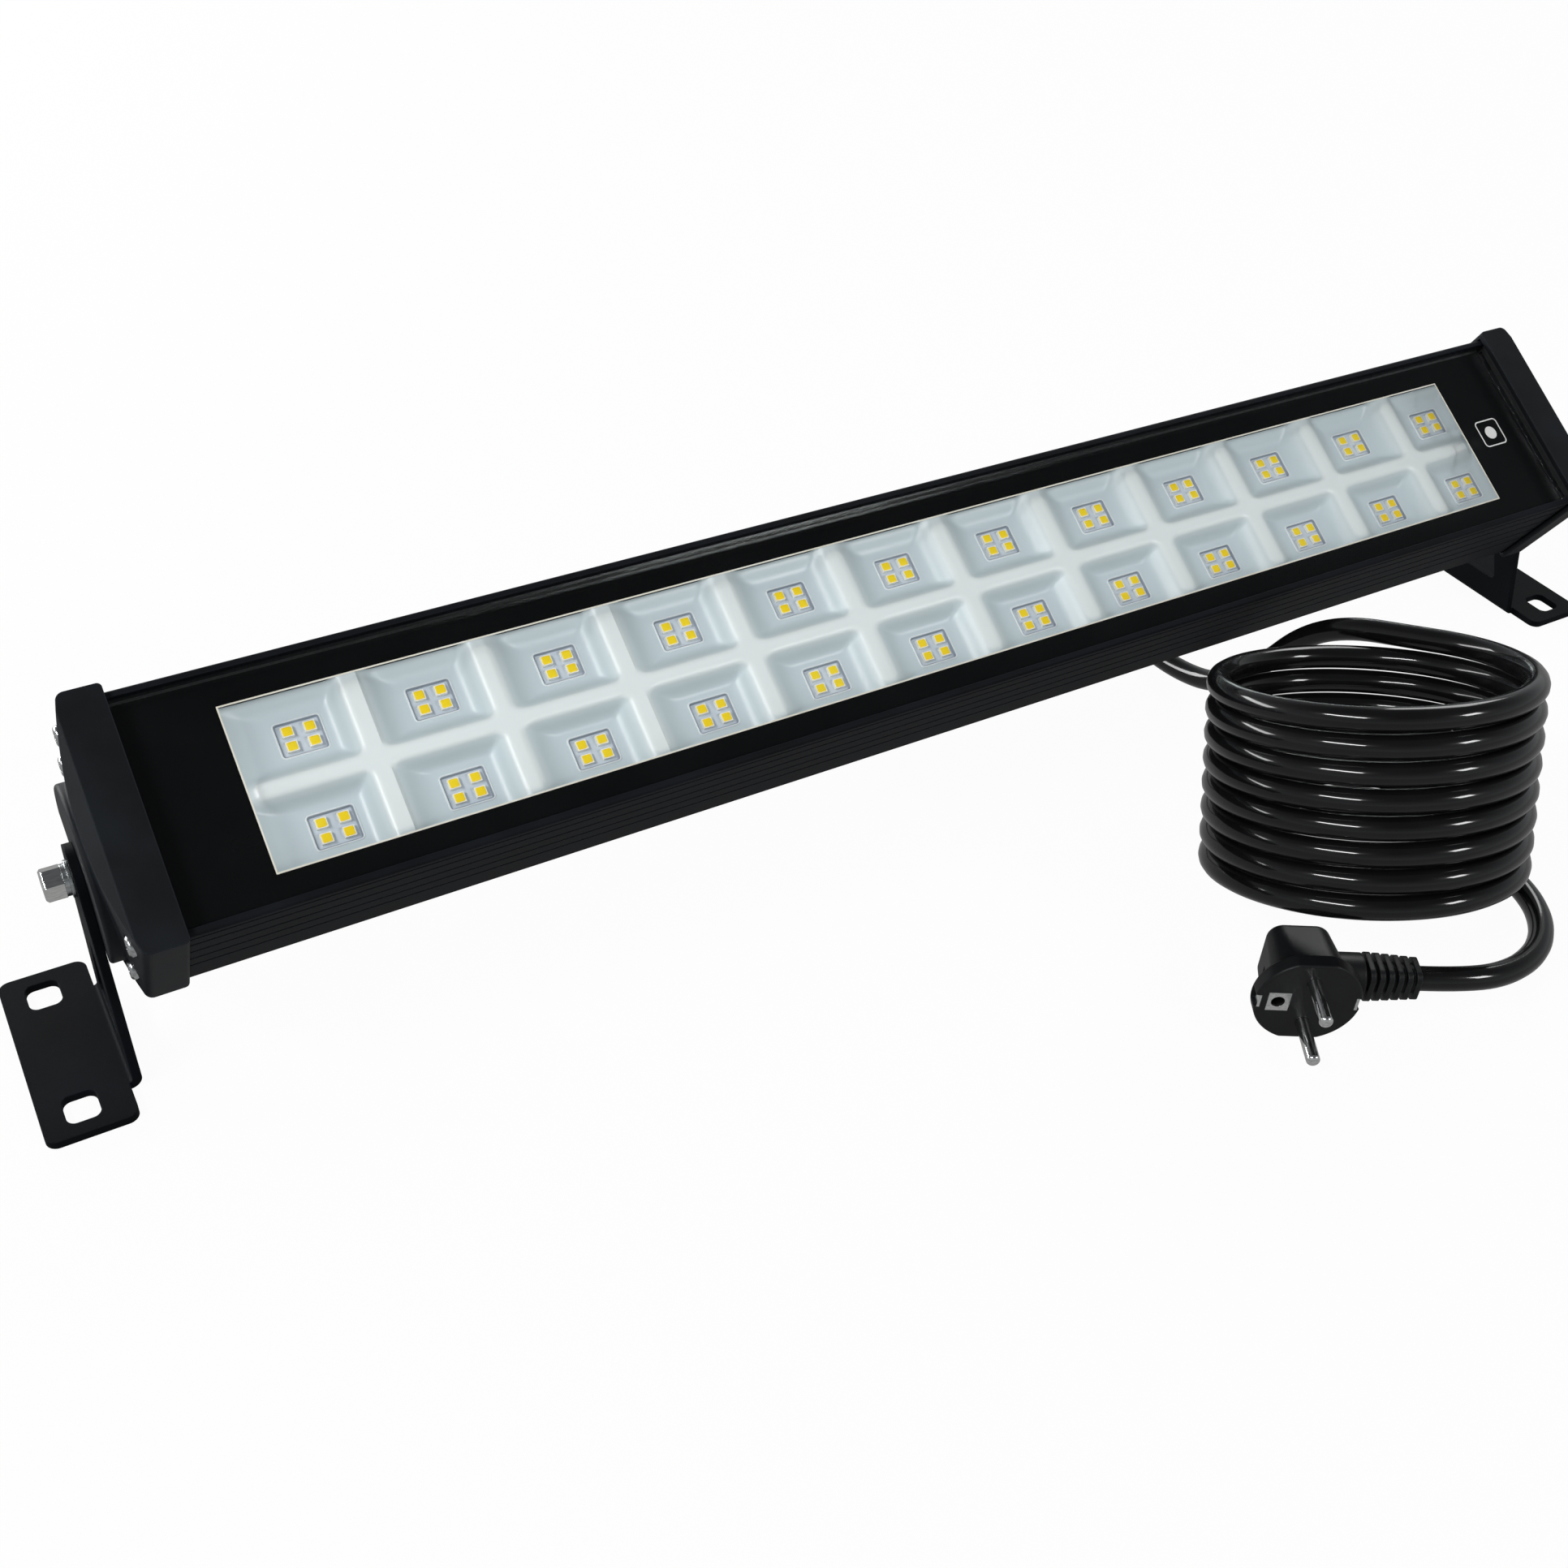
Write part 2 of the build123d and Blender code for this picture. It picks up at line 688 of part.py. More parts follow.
# End caps, their seals and screws, and the pivot hardware, at both ends
for side_name, side in (("left", -1), ("right", 1)):
    cap_inner = half_length - cap_overlap
    cap_corner = half_length + cap_corner_reach
    cap_middle = cap_corner + cap_crown
    cap_depth = cap_high - cap_low
    with BuildPart() as end_cap:
        with BuildSketch(level(cap_low)) as cap_plan:
            with BuildLine() as cap_edge:
                Polyline(
                    (side * cap_corner, -cap_half_width),
                    (side * cap_inner, -cap_half_width),
                    (side * cap_inner, cap_half_width),
                    (side * cap_corner, cap_half_width),
                )
                ThreePointArc(
                    (side * cap_corner, cap_half_width),
                    (side * cap_middle, 0),
                    (side * cap_corner, -cap_half_width),
                )
            make_face()
        extrude(amount=cap_depth)
        corner_edges = end_cap.edges().filter_by(head_up).group_by(Axis.X)[0 if side < 0 else -1]
        fillet(corner_edges, cap_corner_round)
        shoulder_edges = end_cap.edges().filter_by(head_up).group_by(Axis.X)[-1 if side < 0 else 0]
        fillet(shoulder_edges, cap_shoulder_round)
        back_edges = end_cap.edges().group_by(head_up)[0].filter_by(Axis.Y, reverse=True)
        fillet(back_edges, cap_round)
        facet_start = cap_middle - cap_facet_drop
        with BuildSketch(
            Plane(
                origin=head.from_local_coords(Vector(0, cap_half_width + overrun, cap_high)),
                x_dir=head.x_dir,
                z_dir=-head.y_dir,
            )
        ) as facet_section:
            with BuildLine() as facet_edge:
                Polyline(
                    (side * facet_start, 0),
                    (side * (cap_middle + overrun), -cap_facet_drop - overrun),
                    (side * (cap_middle + overrun), overrun),
                    (side * facet_start, overrun),
                    close=True,
                )
            make_face()
        extrude(amount=2 * (cap_half_width + overrun), mode=Mode.SUBTRACT)
        with BuildSketch(section(side * (plate_face - overrun))) as boss_outline:
            with Locations((-pivot_below_middle, pivot_from_back)):
                Circle(boss_radius)
            with Locations((0, (cap_low + cap_high) / 2)):
                Rectangle(
                    2 * cap_half_width, cap_depth - 2 * cap_round - 2 * boss_edge, mode=Mode.INTERSECT
                )
        extrude(amount=side * (boss_face - plate_face + overrun))
        boss_rim = end_cap.edges().group_by(Axis.X)[0 if side < 0 else -1]
        fillet(boss_rim, boss_round)
        with BuildSketch(section(side * (plate_face - overrun))) as seat_outline:
            with Locations(*port_places):
                Circle(cap_seat_radius)
        extrude(amount=side * (seat_face - plate_face + overrun))
        with BuildSketch(section(side * seat_face)) as seat_recess:
            with Locations(*port_places):
                Circle(cap_screw_head_radius + slide_clearance)
        extrude(amount=side * (boss_face - seat_face + overrun), mode=Mode.SUBTRACT)
        with BuildSketch(section(side * (cap_inner - overrun))) as cap_mouth:
            with Locations((0, housing_depth / 2)):
                Rectangle(housing_width + 2 * slide_clearance, housing_depth + 2 * slide_clearance)
        extrude(amount=side * (plate_face - cap_inner + overrun), mode=Mode.SUBTRACT)
        pocket_depth = cap_middle - plate_face - cap_floor_thickness - cap_crown
        with BuildSketch(section(side * (plate_face - overrun))) as cap_pocket:
            with Locations((0, housing_depth / 2)):
                Rectangle(housing_width - 2 * cap_pocket_margin, housing_depth - 2 * cap_pocket_margin)
            with Locations((-pivot_below_middle, pivot_from_back)):
                Circle(column_radius, mode=Mode.SUBTRACT)
            with Locations(*port_places):
                Circle(cap_seat_radius, mode=Mode.SUBTRACT)
        extrude(amount=side * (pocket_depth + overrun), mode=Mode.SUBTRACT)
        with BuildSketch(section(side * (plate_face - overrun))) as cap_holes:
            with Locations(*port_places):
                Circle(cap_screw_radius + slide_clearance)
        extrude(amount=side * (boss_face - plate_face + 2 * overrun), mode=Mode.SUBTRACT)
        with BuildSketch(section(side * (boss_face + overrun))) as insert_hole:
            with Locations((-pivot_below_middle, pivot_from_back)):
                Circle(insert_radius + seat_clearance)
        extrude(amount=-side * (insert_length + overrun), mode=Mode.SUBTRACT)
        with BuildSketch(section(side * (boss_face + overrun))) as shank_hole:
            with Locations((-pivot_below_middle, pivot_from_back)):
                Circle(bolt_radius + slide_clearance)
        extrude(amount=-side * (bolt_length + 2 * overrun), mode=Mode.SUBTRACT)
    keep(end_cap, side_name + "_end_cap")

    with BuildPart() as cap_seal:
        with BuildSketch(section(side * half_length)) as cap_seal_outline:
            with Locations((0, housing_depth / 2)):
                Rectangle(housing_width, housing_depth)
                Rectangle(
                    housing_width - 2 * cap_pocket_margin,
                    housing_depth - 2 * cap_pocket_margin,
                    mode=Mode.SUBTRACT,
                )
            with Locations(*port_places):
                Circle(cap_seat_radius)
            with Locations(*port_places):
                Circle(cap_screw_radius + slide_clearance, mode=Mode.SUBTRACT)
        extrude(amount=side * cap_seal_thickness)
    keep(cap_seal, side_name + "_cap_seal")

    with BuildPart() as cap_screws:
        with BuildSketch(section(side * seat_face)) as cap_screw_heads:
            with Locations(*port_places):
                Circle(cap_screw_head_radius)
        extrude(amount=side * cap_screw_head_height)
        head_rims = cap_screws.edges().group_by(Axis.X)[0 if side < 0 else -1]
        fillet(head_rims, cap_screw_round)
        with BuildSketch(section(side * (seat_face + cap_screw_head_height))) as cap_screw_drive:
            with Locations(*port_places):
                Rectangle(cap_screw_cross, cap_screw_slot)
                Rectangle(cap_screw_slot, cap_screw_cross)
        extrude(amount=-side * cap_screw_recess, mode=Mode.SUBTRACT)
        with BuildSketch(section(side * seat_face)) as cap_screw_shanks:
            with Locations(*port_places):
                Circle(port_bore_radius - seat_clearance)
        extrude(amount=-side * cap_screw_length)
    keep(cap_screws, side_name + "_cap_screws")

    with BuildPart() as pivot_insert:
        with BuildSketch(section(side * boss_face)) as insert_ring:
            with Locations((-pivot_below_middle, pivot_from_back)):
                Circle(insert_radius)
                Circle(bolt_radius + seat_clearance, mode=Mode.SUBTRACT)
        extrude(amount=-side * insert_length)
    keep(pivot_insert, side_name + "_pivot_insert")

    washer_face = arm_outer + running_clearance
    lock_face = washer_face + flat_washer_thickness
    head_face = lock_face + lock_washer_thickness
    with BuildPart() as flat_washer:
        with BuildSketch(section(side * washer_face)) as washer_ring:
            with Locations((-pivot_below_middle, pivot_from_back)):
                Circle(flat_washer_radius)
                Circle(bolt_radius + seat_clearance, mode=Mode.SUBTRACT)
        extrude(amount=side * flat_washer_thickness)
    keep(flat_washer, side_name + "_flat_washer")

    with BuildPart() as lock_washer:
        with BuildSketch(section(side * lock_face)) as lock_ring:
            with Locations((-pivot_below_middle, pivot_from_back)):
                Circle(lock_washer_radius)
                Circle(bolt_radius + seat_clearance, mode=Mode.SUBTRACT)
            with Locations((-pivot_below_middle + lock_washer_radius, pivot_from_back)):
                slit_reach = 2 * (lock_washer_radius - bolt_radius) + overrun
                Rectangle(slit_reach, lock_washer_slit, mode=Mode.SUBTRACT)
        extrude(amount=side * lock_washer_thickness)
    keep(lock_washer, side_name + "_lock_washer")

    with BuildPart() as pivot_bolt:
        with BuildSketch(section(side * head_face)) as bolt_head:
            with Locations((-pivot_below_middle, pivot_from_back)):
                RegularPolygon(bolt_head_flats / 2, 6, major_radius=False)
        extrude(amount=side * bolt_head_height)
        outer_face = pivot_bolt.edges().group_by(Axis.X)[0 if side < 0 else -1]
        chamfer(outer_face, bolt_head_chamfer)
        with BuildSketch(section(side * head_face)) as bolt_shank:
            with Locations((-pivot_below_middle, pivot_from_back)):
                Circle(bolt_radius)
        extrude(amount=-side * (head_face - boss_face + bolt_length))
    keep(pivot_bolt, side_name + "_pivot_bolt")

    # Bracket: one bent sheet, with a pierced arm up to the pivot and a foot turned outwards
    base_drop = pivot_height - sheet - bend_radius
    reach = hypot(arm_base_width / 2, base_drop)
    tangent_turn = atan2(-base_drop, arm_base_width / 2) + acos(eye_radius / reach)
    tangent_y = eye_radius * cos(tangent_turn)
    tangent_z = eye_radius * sin(tangent_turn)
    with BuildPart() as bracket:
        with BuildSketch(upright(side * arm_inner)) as arm_outline:
            Circle(eye_radius)
            with BuildLine() as arm_edge:
                Polyline(
                    (-tangent_y, tangent_z),
                    (tangent_y, tangent_z),
                    (arm_base_width / 2, -base_drop),
                    (-arm_base_width / 2, -base_drop),
                    close=True,
                )
            make_face()
            Circle(bolt_radius + seat_clearance, mode=Mode.SUBTRACT)
        extrude(amount=side * sheet)
        with BuildSketch(upright(side * (arm_inner - overrun))) as arm_window:
            with BuildLine() as window_edge:
                FilletPolyline(
                    (0, -arm_window_top),
                    (arm_window_width / 2, -base_drop + arm_window_base),
                    (-arm_window_width / 2, -base_drop + arm_window_base),
                    radius=arm_window_round,
                    close=True,
                )
            make_face()
        extrude(amount=side * (sheet + 2 * overrun), mode=Mode.SUBTRACT)
        bend_centre = (side * (arm_outer + bend_radius), sheet + bend_radius)
        with BuildSketch(
            Plane(origin=(0, pivot_y + arm_base_width / 2, 0), x_dir=(1, 0, 0), z_dir=(0, -1, 0))
        ) as bend_section:
            with BuildLine() as bend_edge:
                outer_bend = sheet + bend_radius
                inner_start = (bend_centre[0] - side * bend_radius, bend_centre[1])
                inner_end = (bend_centre[0], bend_centre[1] - bend_radius)
                outer_end = (bend_centre[0], bend_centre[1] - outer_bend)
                outer_start = (bend_centre[0] - side * outer_bend, bend_centre[1])
                inner_middle = (
                    bend_centre[0] - side * bend_radius * cos(pi / 4),
                    bend_centre[1] - bend_radius * sin(pi / 4),
                )
                outer_middle = (
                    bend_centre[0] - side * outer_bend * cos(pi / 4),
                    bend_centre[1] - outer_bend * sin(pi / 4),
                )
                ThreePointArc(inner_start, inner_middle, inner_end)
                Line(inner_end, outer_end)
                ThreePointArc(outer_end, outer_middle, outer_start)
                Line(outer_start, inner_start)
            make_face()
        extrude(amount=arm_base_width)
        with BuildSketch(Plane.XY) as foot_outline:
            foot_centre = arm_outer + bend_radius + (foot_width - bend_radius) / 2
            with Locations((side * foot_centre, pivot_y)):
                RectangleRounded(foot_width - bend_radius, foot_length, foot_round)
            with Locations((side * (foot_centre - foot_round), pivot_y)):
                Rectangle(foot_width - bend_radius - 2 * foot_round, arm_base_width)
            hole_x = side * (arm_outer + foot_hole_from_arm)
            with Locations((hole_x, pivot_y - foot_hole_pitch / 2), (hole_x, pivot_y + foot_hole_pitch / 2)):
                RectangleRounded(foot_hole_width, foot_hole_length, foot_hole_round, mode=Mode.SUBTRACT)
        extrude(amount=sheet)
    keep(bracket, side_name + "_bracket")

# Cable gland on the back: sealing washer, body with thread, dome nut and lock nut inside
gland_top = fin_height
with BuildPart() as gland_washer:
    with BuildSketch(rear(gland_x, gland_from_middle, gland_top)) as gland_washer_ring:
        Circle(gland_flange_flats / 2)
        Circle(gland_thread_radius + slide_clearance, mode=Mode.SUBTRACT)
    extrude(amount=gland_washer_thickness)
keep(gland_washer, "gland_washer")

with BuildPart() as gland_body:
    with BuildSketch(rear(gland_x, gland_from_middle, gland_top - gland_washer_thickness)) as gland_flange:
        RegularPolygon(gland_flange_flats / 2, 6, major_radius=False)
    extrude(amount=gland_flange_height)
    with BuildSketch(
        rear(gland_x, gland_from_middle, gland_top - gland_washer_thickness - gland_flange_height)
    ) as gland_neck:
        Circle(gland_body_radius)
    extrude(amount=gland_body_height)
    with BuildSketch(rear(gland_x, gland_from_middle, gland_top - gland_washer_thickness)) as gland_thread:
        Circle(gland_thread_radius)
    extrude(amount=-(gland_washer_thickness + gland_thread_length))
    with BuildSketch(rear(gland_x, gland_from_middle, chamber_floor + gland_thread_length)) as gland_way:
        Circle(cord_radius + seat_clearance)
    extrude(amount=chamber_floor + gland_thread_length + 2 * gland_flange_height, mode=Mode.SUBTRACT)
keep(gland_body, "gland_body")

nut_start = gland_washer_thickness + gland_flange_height + gland_body_height - gland_top
with BuildPart() as gland_nut:
    with BuildSketch(rear(gland_x, gland_from_middle, -nut_start)) as gland_nut_hex:
        RegularPolygon(gland_nut_flats / 2, 6, major_radius=False)
    extrude(amount=gland_nut_height)
    with BuildSketch(rear(gland_x, gland_from_middle, -nut_start - gland_nut_height)) as dome_base:
        Circle(gland_body_radius)
    with BuildSketch(
        rear(gland_x, gland_from_middle, -nut_start - gland_nut_height - gland_dome_height)
    ) as dome_top:
        Circle(gland_dome_radius)
    loft()
    with BuildSketch(rear(gland_x, gland_from_middle, -nut_start + overrun)) as nut_way:
        Circle(cord_radius + seat_clearance)
    extrude(amount=gland_nut_height + gland_dome_height + 2 * overrun, mode=Mode.SUBTRACT)
keep(gland_nut, "gland_nut")

with BuildPart() as gland_lock_nut:
    with BuildSketch(rear(gland_x, gland_from_middle, chamber_floor)) as lock_nut_hex:
        RegularPolygon(lock_nut_flats / 2, 6, major_radius=False)
        Circle(gland_thread_radius + seat_clearance, mode=Mode.SUBTRACT)
    extrude(amount=-lock_nut_height)
keep(gland_lock_nut, "gland_lock_nut")

# Breather vent on the back
with BuildPart() as breather_vent:
    with BuildSketch(rear(vent_x, 0, fin_height)) as vent_cap:
        Circle(vent_radius)
    extrude(amount=vent_height)
    with BuildSketch(rear(vent_x, 0, fin_height)) as vent_thread:
        Circle(vent_thread_radius)
    extrude(amount=-vent_thread_length)
    with BuildSketch(rear(vent_x, 0, fin_height - vent_height)) as vent_slots:
        Rectangle(2 * vent_radius + overrun, vent_slot)
    extrude(amount=-vent_slot, mode=Mode.SUBTRACT)
keep(breather_vent, "breather_vent")

# Directions of the coil's tilted axis and of its ring
lean_turn = radians(coil_lean)
heading_turn = radians(coil_lean_heading)
coil_axis = Vector(
    sin(lean_turn) * cos(heading_turn), sin(lean_turn) * sin(heading_turn), cos(lean_turn)
)
coil_right = (Vector(1, 0, 0) - coil_axis * coil_axis.X).normalized()
coil_back = coil_axis.cross(coil_right)
coil_base = Vector(coil_x, coil_y, cord_radius + coil_lift + coil_radius * sin(lean_turn))
coil_turns = coil_full_turns + (coil_start_angle - coil_end_angle) / 360
straight_end = 2 * cord_radius


# Place and direction of the cord after some turns of the coil, counted from its top
def coil_place(turns):
    angle = radians(coil_start_angle) - 2 * pi * turns
    ring = coil_right * cos(angle) + coil_back * sin(angle)
    return coil_base + coil_axis * (coil_pitch * (coil_turns - turns)) + ring * coil_radius


def coil_direction(turns):
    angle = radians(coil_start_angle) - 2 * pi * turns
    along = coil_right * sin(angle) - coil_back * cos(angle)
    return (along * (2 * pi * coil_radius) - coil_axis * coil_pitch).normalized()


# Two arcs that join two places and leave and meet them in given directions
def two_arcs(start, start_way, end, end_way):
    across = end - start
    ways = start_way + end_way
    room = 2 * (1 - start_way.dot(end_way))
    reach = (-across.dot(ways) + sqrt(across.dot(ways) ** 2 + room * across.dot(across))) / room
    joint = (start + start_way * reach + end - end_way * reach) / 2
    TangentArc(start, joint, tangent=start_way)
    return joint, reach


# Radii of a route's bends: as large as the two runs beside each corner allow
def bend_radii(places):
    radii = []
    for before, corner, after in zip(places, places[1:], places[2:]):
        shorter = min((corner - before).length, (after - corner).length)
        turn = radians((corner - before).get_angle(after - corner))
        radii.append(cord_bend_share * shorter / tan(turn / 2))
    return radii


# Length of a route once its corners are rounded
def route_length(places, radii):
    length = sum((after - before).length for before, after in zip(places, places[1:]))
    for before, corner, after, radius in zip(places, places[1:], places[2:], radii):
        turn = radians((corner - before).get_angle(after - corner))
        length += radius * (turn - 2 * tan(turn / 2))
    return length


# Cord end inside the gland, and its three cores to the terminal block
gland_axis_start = chamber_floor + gland_thread_length - gland_flange_height + sheath_end_rise
gland_exit_height = -(nut_start + gland_nut_height + gland_dome_height)
with BuildPart() as cord_inner_end:
    with BuildSketch(rear(gland_x, gland_from_middle, gland_axis_start)) as sheath_end:
        Circle(cord_radius)
    extrude(amount=gland_axis_start - gland_exit_height)
keep(cord_inner_end, "cord_inner_end")

core_height = chamber_floor + terminal_height - 2 * wire_radius
with BuildPart() as cord_cores:
    for way in range(terminal_ways):
        core_shift = (way - (terminal_ways - 1) / 2) * core_pitch
        core_start = head.from_local_coords(
            Vector(gland_x, gland_from_middle + core_shift, gland_axis_start)
        )
        turn_x = terminal_centre + terminal_length / 2 + core_return + core_shift
        core_corners = [
            core_start,
            head.from_local_coords(Vector(gland_x, gland_from_middle + core_shift, core_height)),
            head.from_local_coords(Vector(turn_x, gland_from_middle + core_shift, core_height)),
            head.from_local_coords(Vector(turn_x, -core_shift, core_height)),
            head.from_local_coords(
                Vector(terminal_centre + terminal_length / 2 + seat_clearance, -core_shift, core_height)
            ),
        ]
        with BuildLine() as core_route:
            FilletPolyline(*core_corners, radius=core_bend_radius)
        with BuildSketch(Plane(origin=core_start, x_dir=head.x_dir, z_dir=head.z_dir)) as core_end:
            Circle(wire_radius)
        sweep()
keep(cord_cores, "cord_cores")

# Free cord from the gland to the coil
gland_exit = head.from_local_coords(Vector(gland_x, gland_from_middle, gland_exit_height))
lead_start = gland_exit
coil_first = coil_place(0) - coil_direction(0) * straight_end
lead_route_places = (
    [lead_start, lead_start - head.z_dir * lead_first_run]
    + [Vector(*place) for place in lead_places]
    + [coil_first - coil_direction(0) * lead_last_run, coil_first]
)
lead_radii = bend_radii(lead_route_places)
print("lead radii", [round(radius, 1) for radius in lead_radii])
with BuildPart() as cord_lead:
    with BuildLine() as lead_route:
        FilletPolyline(*lead_route_places, radius=lead_radii)
    with BuildSketch(Plane(origin=lead_start, x_dir=head.x_dir, z_dir=-head.z_dir)) as lead_section:
        Circle(cord_radius)
    sweep()
keep(cord_lead, "cord_lead")
cord_section = pi * cord_radius**2
lead_length = route_length(lead_route_places, lead_radii)
print("lead length", round(lead_length, 1))
print("lead volume", round(cord_lead.part.volume), "expected", round(cord_section * lead_length))

# Coil of cord: one unbroken tube on pairs of arcs, with a straight end at each side
coil_last = coil_place(coil_turns) + coil_direction(coil_turns) * straight_end
quarter = coil_turns / coil_quarters
with BuildPart() as cord_coil:
    with BuildLine() as coil_route:
        Line(coil_first, coil_place(0))
        for step in range(coil_quarters):
            start = coil_place(step * quarter)
            end = coil_place((step + 1) * quarter)
            start_way = coil_direction(step * quarter)
            end_way = coil_direction((step + 1) * quarter)
            joint, reach = two_arcs(start, start_way, end, end_way)
            joint_way = (joint - start - start_way * reach).normalized()
            TangentArc(joint, end, tangent=joint_way)
        Line(coil_place(coil_turns), coil_last)
    with BuildSketch(Plane(origin=coil_first, z_dir=coil_direction(0))) as coil_section:
        Circle(cord_radius)
    sweep()
keep(cord_coil, "cord_coil")

# Least gap between the coil's own turns, measured on points
samples_per_turn = 48
samples = [coil_place(step / samples_per_turn) for step in range(int(coil_turns * samples_per_turn) + 1)]
least_gap = min(
    (samples[a] - samples[b]).length
    for a in range(len(samples))
    for b in range(a + samples_per_turn // 2, min(a + 2 * samples_per_turn, len(samples)))
)
coil_length = coil_turns * hypot(2 * pi * coil_radius, coil_pitch) + 2 * straight_end
print("coil least gap", round(least_gap - 2 * cord_radius, 2), "length", round(coil_length))
print("coil volume", round(cord_coil.part.volume), "expected", round(cord_section * coil_length))

# Plug frame: its face looks out along the plane's own Z, the cord leaves along its own X
face_way = radians(plug_turn)
plug_out = Vector(-sin(face_way), -cos(face_way), 0)
plug_side = Vector(cos(face_way), -sin(face_way), 0)
plug_centre = Vector(plug_x, plug_y, plug_face_height / 2)
plug_face = Plane(origin=plug_centre + plug_out * plug_face_reach, x_dir=plug_side, z_dir=plug_out)
plug_entry = Plane(origin=plug_centre, x_dir=plug_out, z_dir=plug_side)
relief_end = plug_neck_end + relief_length

# Free cord from the coil to the plug's strain relief
tail_end = plug_centre + plug_side * relief_end
tail_route_places = (
    [coil_last, coil_last + coil_direction(coil_turns) * tail_end_run]
    + [Vector(*place) for place in tail_places]
    + [tail_end + plug_side * tail_end_run, tail_end]
)
tail_radii = bend_radii(tail_route_places)
print("tail radii", [round(radius, 1) for radius in tail_radii])
with BuildPart() as cord_tail:
    with BuildLine() as tail_route:
        FilletPolyline(*tail_route_places, radius=tail_radii)
    with BuildSketch(Plane(origin=coil_last, z_dir=coil_direction(coil_turns))) as tail_section:
        Circle(cord_radius)
    sweep()
keep(cord_tail, "cord_tail")
tail_length = route_length(tail_route_places, tail_radii)
print("tail length", round(tail_length, 1))
print("tail volume", round(cord_tail.part.volume), "expected", round(cord_section * tail_length))
print("cord length", round(lead_length + coil_length + tail_length))

# Plug body: a round face with two flats, a tapered grip behind it and a neck towards the cord
with BuildPart() as plug_body:
    with BuildSketch(plug_face.offset(-plug_face_thickness)) as plug_disc:
        Circle(plug_face_radius)
        Rectangle(2 * plug_face_radius, plug_face_height, mode=Mode.INTERSECT)
    extrude(amount=plug_face_thickness)
    fillet(plug_body.edges().filter_by(Axis(plug_face.origin, plug_face.z_dir)), plug_flat_round)
    fillet(plug_body.faces().filter_by(Axis(plug_face.origin, plug_face.z_dir)).edges(), plug_edge)
    with BuildSketch(plug_face.offset(-plug_face_thickness)) as grip_section:
        RectangleRounded(plug_body_width, plug_body_height, plug_body_round)
    extrude(amount=-plug_body_depth, taper=plug_body_taper)
    grip_back = plug_body.faces().sort_by(Axis(plug_face.origin, plug_face.z_dir))[0]
    fillet(grip_back.edges(), plug_back_round)
    with BuildSketch(plug_entry) as neck_section:
        Circle(plug_neck_radius)
    extrude(amount=plug_neck_end)
    with BuildSketch(plug_face) as pin_holes:
        with GridLocations(0, pin_pitch, 1, 2):
            Circle(pin_radius + seat_clearance)
    extrude(amount=-pin_root, mode=Mode.SUBTRACT)
    with BuildSketch(plug_face) as plate_seat:
        plate_middle = -(earth_plate_reach + earth_plate_inset) / 2
        with Locations((plate_middle, 0)):
            Rectangle(
                earth_plate_reach - earth_plate_inset + 2 * seat_clearance,
                earth_plate_height + 2 * seat_clearance,
            )
    extrude(amount=-earth_plate_thickness, mode=Mode.SUBTRACT)
    with BuildSketch(plug_face) as earth_socket:
        with Locations((-earth_socket_reach, 0)):
            Circle(earth_socket_radius)
    extrude(amount=-earth_socket_depth, mode=Mode.SUBTRACT)
    clip_outer = plug_face_radius - earth_clip_inset
    with BuildSketch(plug_face) as clip_seats:
        for clip_side in (-1, 1):
            with Locations((clip_side * (clip_outer + overrun / 2 - earth_clip_thickness / 2), 0)):
                Rectangle(
                    earth_clip_thickness + 2 * seat_clearance + overrun,
                    earth_clip_width + 2 * seat_clearance,
                )
            with Locations((clip_side * (plug_face_radius + overrun / 2), 0)):
                Rectangle(2 * earth_clip_inset + overrun, earth_clip_width + 2 * seat_clearance)
    extrude(amount=-earth_clip_depth, mode=Mode.SUBTRACT)
keep(plug_body, "plug_body")

# Plug pins
with BuildPart() as plug_pins:
    with BuildSketch(plug_face.offset(-pin_root)) as pin_sections:
        with GridLocations(0, pin_pitch, 1, 2):
            Circle(pin_radius)
    extrude(amount=pin_root + pin_length)
    pin_ends = plug_pins.edges().group_by(Axis(plug_face.origin, plug_face.z_dir))[-1]
    fillet(pin_ends, pin_tip)
keep(plug_pins, "plug_pins")

# Earth contacts: a clip in each side of the face, and a plate round the earth socket
with BuildPart() as plug_earth_contacts:
    with BuildSketch(plug_face.offset(-earth_clip_depth)) as clip_sections:
        for clip_side in (-1, 1):
            with Locations((clip_side * (clip_outer - earth_clip_thickness / 2), 0)):
                Rectangle(earth_clip_thickness, earth_clip_width)
    extrude(amount=earth_clip_depth)
    with BuildSketch(plug_face.offset(-earth_plate_thickness)) as plate_section:
        with Locations((plate_middle, 0)):
            Rectangle(earth_plate_reach - earth_plate_inset, earth_plate_height)
        with Locations((-earth_socket_reach, 0)):
            Circle(earth_socket_radius, mode=Mode.SUBTRACT)
    extrude(amount=earth_plate_thickness)
keep(plug_earth_contacts, "plug_earth_contacts")

# Ribbed strain relief between the plug and the cord
rib_step = relief_length / relief_ribs
with BuildPart() as plug_strain_relief:
    with BuildSketch(plug_entry.offset(plug_neck_end)) as relief_core:
        Circle(relief_core_radius)
    extrude(amount=relief_length)
    for rib in range(relief_ribs):
        rib_start = plug_neck_end + rib * rib_step + relief_gap_share * rib_step
        rib_radius = relief_root_radius + (relief_tip_radius - relief_root_radius) * rib / (relief_ribs - 1)
        with BuildSketch(plug_entry.offset(rib_start)) as rib_section:
            RectangleRounded(2 * rib_radius, 2 * rib_radius, rib_radius / 2)
        extrude(amount=rib_step * (1 - relief_gap_share))
keep(plug_strain_relief, "plug_strain_relief")
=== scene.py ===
from math import cos, pi, radians, sin

